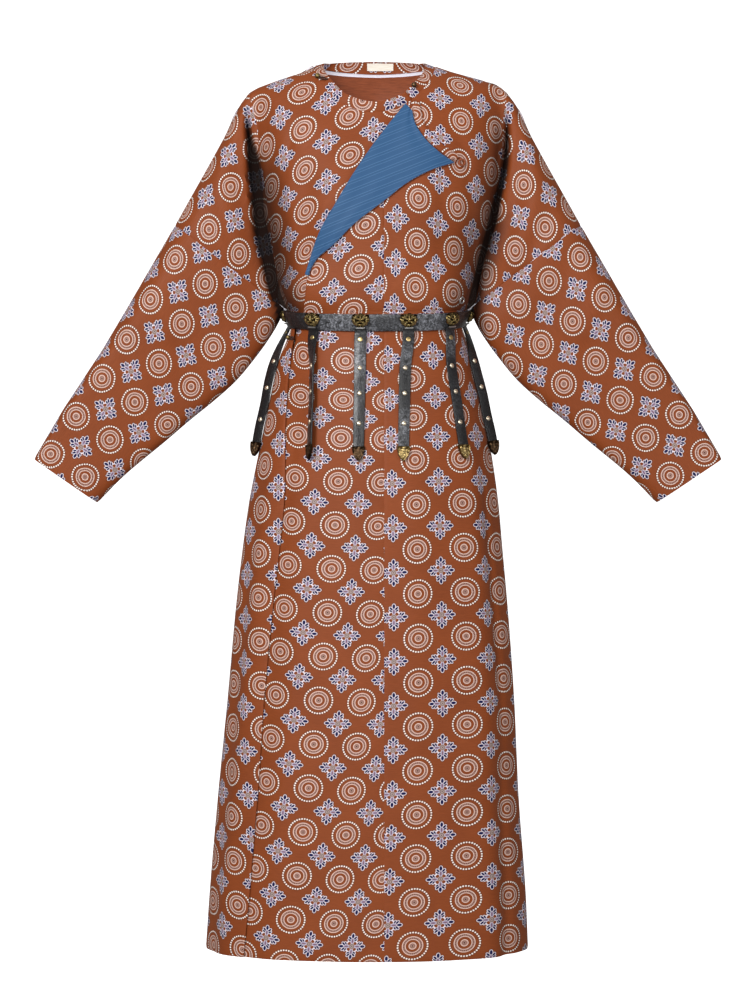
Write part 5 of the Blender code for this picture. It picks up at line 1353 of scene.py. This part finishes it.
def rounded(wide, thick, corner, steps=4):  # outline of a strap's section: across and outwards
    spots = []
    for cx, cy, start in ((wide / 2 - corner, -corner, 90), (-wide / 2 + corner, -corner, 180),
                          (-wide / 2 + corner, -thick + corner, 270),
                          (wide / 2 - corner, -thick + corner, 0)):
        start = {90: 0, 180: 90, 270: 180, 0: 270}[start]
        for k in range(steps):
            angle = math.radians(start + 90 * k / (steps - 1))
            spots.append((cx + corner * math.cos(angle), cy + corner * math.sin(angle)))
    return np.array(spots)


def beltPoint(level, turn, lift):
    top = ringPoint(belt["top"], turn, outermostLift(belt["top"], turn) + lift, plain=True)
    bottom = ringPoint(belt["bottom"], turn, outermostLift(belt["bottom"], turn) + lift, plain=True)
    return top + (bottom - top) * (belt["top"] - level) / (belt["top"] - belt["bottom"])


def frameAt(point, level, turn, lift):
    centre = point(level, turn, lift)
    right = point(level, turn + 2, lift) - point(level, turn - 2, lift)
    up = point(level + 6, turn, lift) - point(level - 6, turn, lift)
    out = unit(np.cross(right, up))
    right = unit(right)
    return centre, right, np.cross(out, right), out


def setRelief(piece, values):
    piece.data.attributes.new("relief", "FLOAT", "POINT").data.foreach_set("value",
                                                                           np.asarray(values, np.float32))


def setPaintedSheen(piece, values):  # strength of the grey highlights painted on the leather: most at the front
    values = np.broadcast_to(np.asarray(values, np.float32), len(piece.data.vertices))
    piece.data.attributes.new("worn", "FLOAT", "POINT").data.foreach_set("value",
                                                                         np.ascontiguousarray(values))


def place(piece, slot, *nodes):
    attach(piece, "root")
    if nodes:
        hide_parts(*nodes)
    print(piece.name, len(piece.data.polygons), "faces")


middle = (belt["top"] + belt["bottom"]) / 2
tall = belt["top"] - belt["bottom"]
around = np.concatenate([skirtTurns[::-1] * -1, skirtTurns[1:-1]])
section = rounded(tall, belt["thick"], 1.1)
rings = []
for turn in around:
    lifts = belt["clear"] + belt["thick"] + section[:, 1]
    rings.append(np.array([beltPoint(middle + up, turn, lift) for up, lift in zip(section[:, 0], lifts)]))
rings = np.array(rings)
count, roundCount = rings.shape[:2]
mesh = bpy.data.meshes.new("belt")
mesh.from_pydata((rings.reshape(-1, 3) / 1000).tolist(), [],
                 [(r * roundCount + k, (r + 1) % count * roundCount + k,
                   (r + 1) % count * roundCount + (k + 1) % roundCount,
                   r * roundCount + (k + 1) % roundCount) for r in range(count) for k in range(roundCount)])
mesh.materials.append(finish["leather"])
mesh.shade_smooth()
mesh.set_sharp_from_angle(angle=math.radians(50))
piece = newPiece("beltLeather", mesh)
# grey highlights painted on the belt: strongest about 27 degrees either side of the front, weaker at the
# front itself
paintedSheenAround = 0.05 + 1.1 * np.exp(-((np.abs(around - 3) - 27) / 14) ** 2) + 0.4 * np.exp(-(around / 16) ** 2)
setPaintedSheen(piece, np.repeat(paintedSheenAround, roundCount))
place(piece, "leather", "belt")

boss = {"wide": 15.0, "tall": 10.3, "rise": 10.5, "rings": 24, "around": 64, "up": 3.4, "barUp": -7.4}
maskForms = (  # relief of the beast mask: across (both sides), up, half width, half height, height
    (0, 0.4, 1.5, 2.6, 3.0), (3.3, 2.6, 2.4, 1.0, 2.2), (3.4, 0.6, 1.2, 0.9, -2.4), (3.4, 0.6, 0.5, 0.5, 1.8),
    (4.2, -2.2, 1.8, 1.5, 1.8), (0, -3.6, 3.2, 0.8, -2.4), (0, -6.0, 2.4, 1.2, 1.8), (0, 5.4, 1.3, 1.6, 2.2),
    (2.1, 5.6, 0.6, 1.9, -1.8), (8.2, 5.4, 2.0, 1.9, 2.4), (8.2, 5.4, 0.9, 0.8, -2.4),
    (6.6, 0.4, 0.7, 2.6, -1.8), (9.2, -0.4, 1.1, 2.2, 1.6), (5.6, -5.0, 1.0, 1.4, 1.5),
)


def maskHeight(a, b, wide, tall, rise, forms, curls):
    r = np.clip(np.sqrt((a / wide) ** 2 + (b / tall) ** 2), 0, 1)
    height = rise * 0.55 * np.sqrt(np.clip(1 - r ** 3, 0, 1))
    for x, y, w, h, up in forms:
        height = height + up * np.exp(-(((np.abs(a) - x) / w) ** 2) - ((b - y) / h) ** 2)
    turn = np.arctan2(b, a)
    mane = np.sin(curls * turn + 5 * r) * ease(0.55, 0.8, r) * (1 - ease(0.93, 1, r))
    return np.maximum(height + 0.55 * mane, 0.35), mane


def reliefPiece(name, frame, outline, middleUp, forms, settings, metal, curls=18):
    centre, right, up, out = frame
    outlineAcross, outlineUp = outline
    under = np.full_like(outlineAcross, settings.get("under", 0.0))
    ringsHere = [np.stack([outlineAcross, outlineUp, under], axis=-1)]
    relief = [np.zeros(len(outlineAcross))]
    for share in np.concatenate([[1.0], np.linspace(0.985, 0.03, settings["rings"])]):
        a, b = outlineAcross * share, middleUp + (outlineUp - middleUp) * share
        height, mane = maskHeight(a, b - middleUp, settings["wide"], settings["tall"], settings["rise"],
                                  forms, curls)
        rim = ease(0.8, 0.97, share) if settings.get("rim") else 0
        height = height * (1 - rim) + settings.get("rim", 0) * rim
        if share == 1.0:
            height = height * 0 + 0.5
        ringsHere.append(np.stack([a, b, height], axis=-1))
        smooth = settings["rise"] * 0.55 * math.sqrt(max(1 - share ** 3, 0))
        relief.append(np.clip(0.16 + 0.5 * (height - smooth * (1 - rim) - settings.get("rim", 0) * rim)
                              + 0.25 * mane, 0, 1))
    local = np.array(ringsHere)
    spots = centre + local[..., :1] * right + local[..., 1:2] * up + local[..., 2:] * out
    piece = solidFrom(name, spots, finish[metal], sharp=75)
    setRelief(piece, np.concatenate([np.concatenate(relief), [0, 0.9]]))
    return piece


bossTurns = np.linspace(0, 2 * math.pi, boss["around"], endpoint=False)
lobes = 1 + 0.045 * np.sin(bossTurns * 9 + 0.6)
ears = 0.12 * np.exp(-((np.abs(np.cos(bossTurns)) - 0.72) / 0.16) ** 2) * (np.sin(bossTurns) > 0)
bossOutline = (boss["wide"] * np.cos(bossTurns) * (lobes + ears) * (0.84 + 0.2 * np.sin(bossTurns)),
               boss["tall"] * np.sin(bossTurns) * (lobes + ears))
tipSide = [(9.3, 0.2), (9.5, -3), (8.6, -8.5), (6.9, -13.5), (4.2, -18), (0, -21.6)]
tipLine = np.array([(x, y) for x, y in tipSide] + [(-x, y) for x, y in tipSide[-2::-1]])
tipRun = np.concatenate([[0], np.cumsum(np.linalg.norm(np.diff(np.vstack([tipLine, tipLine[:1]]), axis=0),
                                                       axis=1))])
tipAt = np.linspace(0, tipRun[-1], 49)[:-1]
tipOutline = tuple(np.interp(tipAt, tipRun, np.append(tipLine[:, k], tipLine[0, k]))[::-1] for k in (0, 1))
tipForms = ((0, 5.5, 3.4, 1.6, 1.1), (0, 1.0, 1.6, 2.6, 1.6), (3.4, 1.8, 1.3, 1.1, 1.1),
            (3.4, 1.8, 0.6, 0.5, -1.4), (2.6, -2.4, 1.3, 1.5, 1.2), (0, -5.6, 1.2, 2.4, 1.3),
            (5.2, 5.4, 1.3, 1.3, 1.2), (5.4, -1.0, 1.0, 2.4, 0.9))
tip = {"wide": 9.7, "tall": 11, "rise": 2.6, "rings": 16, "under": -2.4, "rim": 2.0}


def outerCloth(level, turn, lift):
    return ringPoint(level, turn, outermostLift(level, turn) + lift)


def strapFrames(k, hung):
    frames, levels = [], np.linspace(strap["top"], strap["end"][k], strap["rows"] + 1)
    for level in levels:
        share = (strap["top"] - level) / (strap["top"] - strap["end"][k])
        x = strap["topX"][k] + (strap["tipX"][k] - strap["topX"][k]) * share
        turn = float(np.clip(ringTurn(level, x), -75, 75))
        centre, right, up, out = frameAt(outerCloth, level, turn, 0.0)
        beside = outerCloth(level, turn + np.linspace(-6, 6, 9), 0.0) - centre
        angle = math.radians(strap["twist"][k] * float(ease(-0.05, 0.35, share)))
        far = max(0.0, (beside @ out).max()) + strap["clear"] + strap["thick"]
        far = far + abs(math.sin(angle)) * strap["wide"][0] / 2
        frames.append([centre + out * far, right, up, out, share, angle])
    places, outs, rights = (np.array([f[spotIndex] for f in frames]) for spotIndex in (0, 3, 1))
    for _ in range(6):
        places[1:-1] = (places[:-2] + 2 * places[1:-1] + places[2:]) / 4
        outs[1:-1] = unit(outs[:-2] + outs[1:-1] + outs[2:])
        rights[1:-1] = unit(rights[:-2] + rights[1:-1] + rights[2:])
    drop = hung - places[0]
    done = []
    for spot, right, out, (_, _, _, _, share, angle) in zip(places, rights, outs, frames):
        spot = spot + drop * (1 - ease(0, strap["fade"], share)) + out * 0.35 * math.sin(16 * share + k)
        right = right * math.cos(angle) + out * math.sin(angle)
        done.append((spot, right, unit(np.cross(right, unit(places[0] - places[-1]))), share))
    return done


profile = rounded(2, strap["thick"], 0.8)
profile[:, 0] = np.sign(profile[:, 0]) * (1 - (1 - np.abs(profile[:, 0])) * 0.08)
studSpots, rivetSpots = [], []
for k, x in enumerate(strap["beltX"]):
    turn = float(np.clip(ringTurn(middle, x), -90, 90))
    frame = frameAt(beltPoint, middle, turn, belt["clear"] + belt["thick"] + belt["bossClear"])
    centre, right, up, out = frame
    name = str(k + 1)
    high = (centre + up * boss["up"], right, up, out)
    piece = reliefPiece("boss" + name, high, bossOutline, 0.0, maskForms, boss, "antiqueBrass")
    place(piece, "brass", "boss_" + name)
    bar = []
    for a in np.concatenate([[-6.6], np.linspace(-6.3, 6.3, 9), [6.6]]):
        thin = 1.5 * (0.45 if abs(a) > 6.4 else 1)
        ring = np.linspace(0, 2 * math.pi, 12, endpoint=False)
        bar.append([centre + right * a + up * (boss["barUp"] + thin * math.cos(q))
                    + out * (3.6 + thin * math.sin(q)) for q in ring])
    piece = solidFrom("strapBar" + name, bar, finish["silverWire"])
    setRelief(piece, np.full(len(piece.data.vertices), 0.8))
    place(piece, "silver")
    frames = strapFrames(k, centre + up * strap["below"] + out * strap["out"])
    wideTop, wideEnd = strap["wide"]
    halves = [(wideTop + (wideEnd - wideTop) * share) / 2 for _, _, _, share in frames]
    rings = [[spot + r * a * half + o * b for a, b in profile]
             for (spot, r, o, _), half in zip(frames, halves)]
    start = np.array(rings[0])
    rings.insert(0, list(start + up * strap["over"] + frames[0][2] * 1.7))
    piece = solidFrom("strap" + name, rings, finish["leather"], sharp=50)
    shares = np.array([0.0] + [share for _, _, _, share in frames])
    # grey highlights painted along this strap
    paintedSheenPatches = sum(most * np.exp(-(((shares - at) / reach) ** 2)) for at, reach, most in strap["worn"][k])
    setPaintedSheen(piece, np.append(np.repeat(0.02 + paintedSheenPatches, len(profile)), [0.1, 0.1])[:len(piece.data.vertices)])
    place(piece, "leather", "strap_" + name)
    for share, spots in [(strap["rivet"], rivetSpots)] + [(s, studSpots) for s in strap["studs"]]:
        near = min(frames, key=lambda f: abs(f[3] - share))
        spots.append((near[0], near[2]))
    last, before = frames[-1], frames[-2]
    downward = unit(last[0] - before[0])
    out = unit(np.cross(last[1], -downward))
    piece = reliefPiece("strapTip" + name, (last[0] + downward * belt["bossClear"], last[1], -downward, out),
                        tipOutline, -10.5, tipForms, tip, strap["tips"][k], 7)
    place(piece, "brass", "strap_tip_" + name)

studs = {"strapStuds": (studSpots, 3.7, 2.0, "paleGoldStud"),
         "strapRivets": (rivetSpots, 3.7, 0.9, "brightBrass")}


def studTree(name, metal):  # one domed head on each point, turned to face outwards
    tree = bpy.data.node_groups.new(name, "GeometryNodeTree")
    tree.interface.new_socket("Geometry", in_out="INPUT", socket_type="NodeSocketGeometry")
    sizes = [tree.interface.new_socket(text, in_out="INPUT", socket_type="NodeSocketFloat")
             for text in ("Radius", "Height")]
    tree.interface.new_socket("Geometry", in_out="OUTPUT", socket_type="NodeSocketGeometry")
    given = add(tree, "NodeGroupInput").node
    ball = add(tree, "GeometryNodeMeshUVSphere", {"Segments": 20, "Rings": 10, "Radius": 1.0})
    scale = add(tree, "CombineXYZ",
                {0: given.outputs["Radius"], 1: given.outputs["Radius"], 2: given.outputs["Height"]})
    ball = add(tree, "GeometryNodeTransform", {"Geometry": ball, "Scale": scale})
    outward = add(tree, "GeometryNodeInputNamedAttribute", {"Name": "outward"}, data_type="FLOAT_VECTOR")
    turn = add(tree, "FunctionNodeAlignRotationToVector", {"Vector": outward}, axis="Z")
    heads = add(tree, "GeometryNodeInstanceOnPoints", {"Points": given.outputs["Geometry"], "Instance": ball,
                                                       "Rotation": turn})
    real = add(tree, "GeometryNodeRealizeInstances", {"Geometry": heads})
    done = add(tree, "GeometryNodeSetMaterial", {"Geometry": real, "Material": metal})
    tree.links.new(done, tree.nodes.new("NodeGroupOutput").inputs["Geometry"])
    return tree, sizes


for name, (spots, radius, height, metal) in studs.items():
    mesh = bpy.data.meshes.new(name + "Points")
    mesh.from_pydata([tuple(spot / 1000) for spot, _ in spots], [], [])
    outward = mesh.attributes.new("outward", "FLOAT_VECTOR", "POINT")
    outward.data.foreach_set("vector", np.array([out for _, out in spots], np.float32).ravel())
    points = newPiece(name + "Points", mesh)
    tree, sizes = studTree(name + "Tree", finish[metal])
    modifier = points.modifiers.new("heads", "NODES")
    modifier.node_group = tree
    modifier[sizes[0].identifier], modifier[sizes[1].identifier] = radius / 1000, height / 1000
    graph = bpy.context.evaluated_depsgraph_get()
    made = bpy.data.meshes.new_from_object(points.evaluated_get(graph))
    bpy.data.objects.remove(points)
    made.shade_smooth()
    piece = newPiece(name, made)
    setRelief(piece, np.full(len(made.vertices), 0.85))
    place(piece, "brass")


# Ball buttons, their cloth tabs, the knotted loop at the corner and the ring on the belt
def ballPiece(name, frame, radius, stand, metal, node):
    centre, right, up, out = frame
    rings, relief = [], []
    for latitude in np.linspace(-86, 86, 19):
        flat = radius * math.cos(math.radians(latitude)) * (1 if latitude > -60 else 0.9)
        height = radius + stand + radius * math.sin(math.radians(latitude))
        groove = 1 - 0.05 * math.exp(-(latitude / 9) ** 2)
        rings.append([centre + right * flat * groove * math.cos(q) + up * flat * groove * math.sin(q)
                      + out * height for q in np.linspace(0, 2 * math.pi, 28, endpoint=False)])
        relief += [0.75 if abs(latitude) > 14 else 0.25] * 28
    piece = solidFrom(name, rings, finish[metal])
    setRelief(piece, relief + [0.3, 0.8])
    place(piece, "brass", node)


def frontFrame(x, z):
    def spot(dx, dz):
        lift = outerLift(np.array(x + dx, float), np.array(z + dz, float)) if x > 0 else 0.0
        return sheetPoint(np.array(x + dx, float), np.array(z + dz, float), "front", lift)
    right, up = spot(2, 0) - spot(-2, 0), spot(0, 2) - spot(0, -2)
    out = unit(np.cross(right, up))
    right = unit(right)
    return spot(0, 0), right, np.cross(out, right), out


def cordLine(name, line, radius, metal, slot, node=None, closed=False, twist=0.0):
    line = np.asarray(line, float)
    lineCount = len(line)
    ahead = np.roll(line, -1, axis=0) - np.roll(line, 1, axis=0)
    if not closed:
        ahead[0], ahead[-1] = line[1] - line[0], line[-1] - line[-2]
    ahead = unit(ahead)
    side = unit(np.cross(ahead, np.array([0.13, -1.0, 0.21])))
    over = np.cross(side, ahead)
    rings = []
    for spotIndex in range(lineCount):
        angles = np.linspace(0, 2 * math.pi, 12, endpoint=False)
        bumps = radius * (1 + twist * np.cos(3 * angles + 0.9 * spotIndex))
        rings.append(line[spotIndex] + side[spotIndex] * (bumps * np.cos(angles))[:, None]
                     + over[spotIndex] * (bumps * np.sin(angles))[:, None])
    if closed:
        rings.append(rings[0])
    piece = solidFrom(name, rings, finish[metal], closed=not closed)
    if metal == "silverWire":
        setRelief(piece, np.full(len(piece.data.vertices), 0.8))
    place(piece, slot, *([node] if node else []))


shoulderButton = frontFrame(-88, -10)
ballPiece("neckButtonRight", shoulderButton, 4.0, -0.7, "antiqueBrass", "neck_button_right")
edge, seam = collar[0, -4], collar[-1, -4]
up, right = seam * 0 + unit(edge - seam), unit(collar[4, -7] - collar[4, -1])
out = unit(np.cross(right, up))
ballPiece("neckButtonLeft", (seam + (edge - seam) * 0.8, right, np.cross(out, right), out), 4.0, 0.4,
          "darkBronze", "neck_button_left")
hipTurn = float(ringTurn(-393, -122))
hip = frameAt(ringPoint, -393, hipTurn, float(ringLapLift(-393, hipTurn)))
ballPiece("hipButton", hip, 3.5, 0.4, "antiqueBrass", "hip_button")
for name, (centre, right, up, out), leaning, length in (("shoulderTab", shoulderButton, (1, -0.35), 15),
                                                        ("hipTab", hip, (1, 0.1), 11)):
    toward = unit(right * leaning[0] + up * leaning[1])
    sideways = np.cross(out, toward)
    line = [centre + toward * (2 + length * t) + sideways * s * 2.2 * math.sin(math.pi * min(1, t + 0.08))
            + out * 0.9 for s, ts in ((1, np.linspace(0, 1, 12)), (-1, np.linspace(1, 0, 12))) for t in ts]
    cordLine(name, line, 1.15, "buttonCord", "collar", twist=0.12)
corner = frontFrame(124, -142)
ring = np.linspace(0, 2 * math.pi, 40, endpoint=False)
centre, right, up, out = corner
cordLine("cornerLoop",
         [centre + right * 5 * math.cos(q) + up * 4.4 * math.sin(q) + out * (2.0 + 0.5 * math.sin(2 * q))
          for q in ring], 1.6, "collarSatin", "collar", "lapel_loop", True, 0.12)
centre, right, up, out = frontFrame(124, -344)
cordLine("beltRing", [centre + right * 4.5 * math.cos(q) + up * 4.5 * math.sin(q) + out * 1.7 for q in ring],
         1.1, "silverWire", "silver", "belt_ring", True)
print("belt, straps and fastenings made")


# Pale studio: a white floor and dome that only the camera sees, and soft light from the front and above
studio = {"floor": -1.46, "radius": 9.0, "rings": 24, "around": 48, "white": "FFFFFF"}
floorSpots, floorFaces = [], []
for k in range(studio["rings"] + 1):
    rise = math.pi / 2 * k / studio["rings"]
    for m in range(studio["around"]):
        turn = 2 * math.pi * m / studio["around"]
        reach = studio["radius"] * math.cos(rise)
        floorSpots.append((reach * math.cos(turn), reach * math.sin(turn),
                           studio["floor"] + studio["radius"] * math.sin(rise)))
        if k:
            low, beside = (k - 1) * studio["around"], (m + 1) % studio["around"]
            floorFaces.append((low + m, low + studio["around"] + m, low + studio["around"] + beside,
                               low + beside))
floorFaces.append(tuple(range(studio["around"])))
mesh = bpy.data.meshes.new("studioDome")
mesh.from_pydata(floorSpots, [], floorFaces)
paper, tree, shader = newMaterial("studioPaper",
                                  {"Roughness": 0.9, "Specular IOR Level": 0.0, "Emission Strength": 1.0,
                                   "Emission Color": linear(studio["white"])})
grainOfPaper = add(tree, "TexNoise", {"Vector": add(tree, "TexCoord", out="Object"), "Scale": 60.0})
tree.links.new(mixed(tree, maths(tree, "MULTIPLY", grainOfPaper, 0.3), linear(studio["white"]),
                     linear("F4F4F4")), shader.inputs["Base Color"])
mesh.materials.append(paper)
dome = newPiece("studioDome", mesh)
dome.visible_diffuse = dome.visible_glossy = dome.visible_shadow = dome.visible_transmission = False

lamps = {  # place, target, size in m, power in W
    "key": ((-1.6, -3.4, 0.9), (0, 0, -0.6), 1.3, 104), "fill": ((2.4, -3.4, -0.2), (0, 0, -0.8), 2.0, 28),
    "front": ((0.25, -4.3, -0.1), (0, 0, -0.6), 0.9, 24), "top": ((0, -0.6, 2.4), (0, 0, -0.4), 2.0, 12),
}
for name, (spot, target, size, power) in lamps.items():
    lamp = bpy.data.lights.new(name, "AREA")
    lamp.shape, lamp.size, lamp.energy = "DISK", size, power
    holder = bpy.data.objects.new(name, lamp)
    holder.location = spot
    holder.rotation_euler = (Vector(target) - Vector(spot)).to_track_quat("-Z", "Y").to_euler()
    bpy.context.scene.collection.objects.link(holder)
world = bpy.data.worlds.new("studioAir")
world.use_nodes = True
world.node_tree.nodes["Background"].inputs["Color"].default_value = (1.0, 1.0, 1.0, 1.0)
world.node_tree.nodes["Background"].inputs["Strength"].default_value = 0.25
bpy.context.scene.world = world
bpy.context.scene.view_settings.view_transform = "Standard"

view = {"place": (-0.003, -4.0, -0.639), "lens": 96.0}
camera = bpy.data.cameras.new("camera")
camera.lens, camera.sensor_width, camera.sensor_fit = view["lens"], 36.0, "AUTO"
holder = bpy.data.objects.new("camera", camera)
holder.location = view["place"]
holder.rotation_euler = (math.pi / 2, 0, 0)
bpy.context.scene.collection.objects.link(holder)
bpy.context.scene.camera = holder
print("studio and camera set")
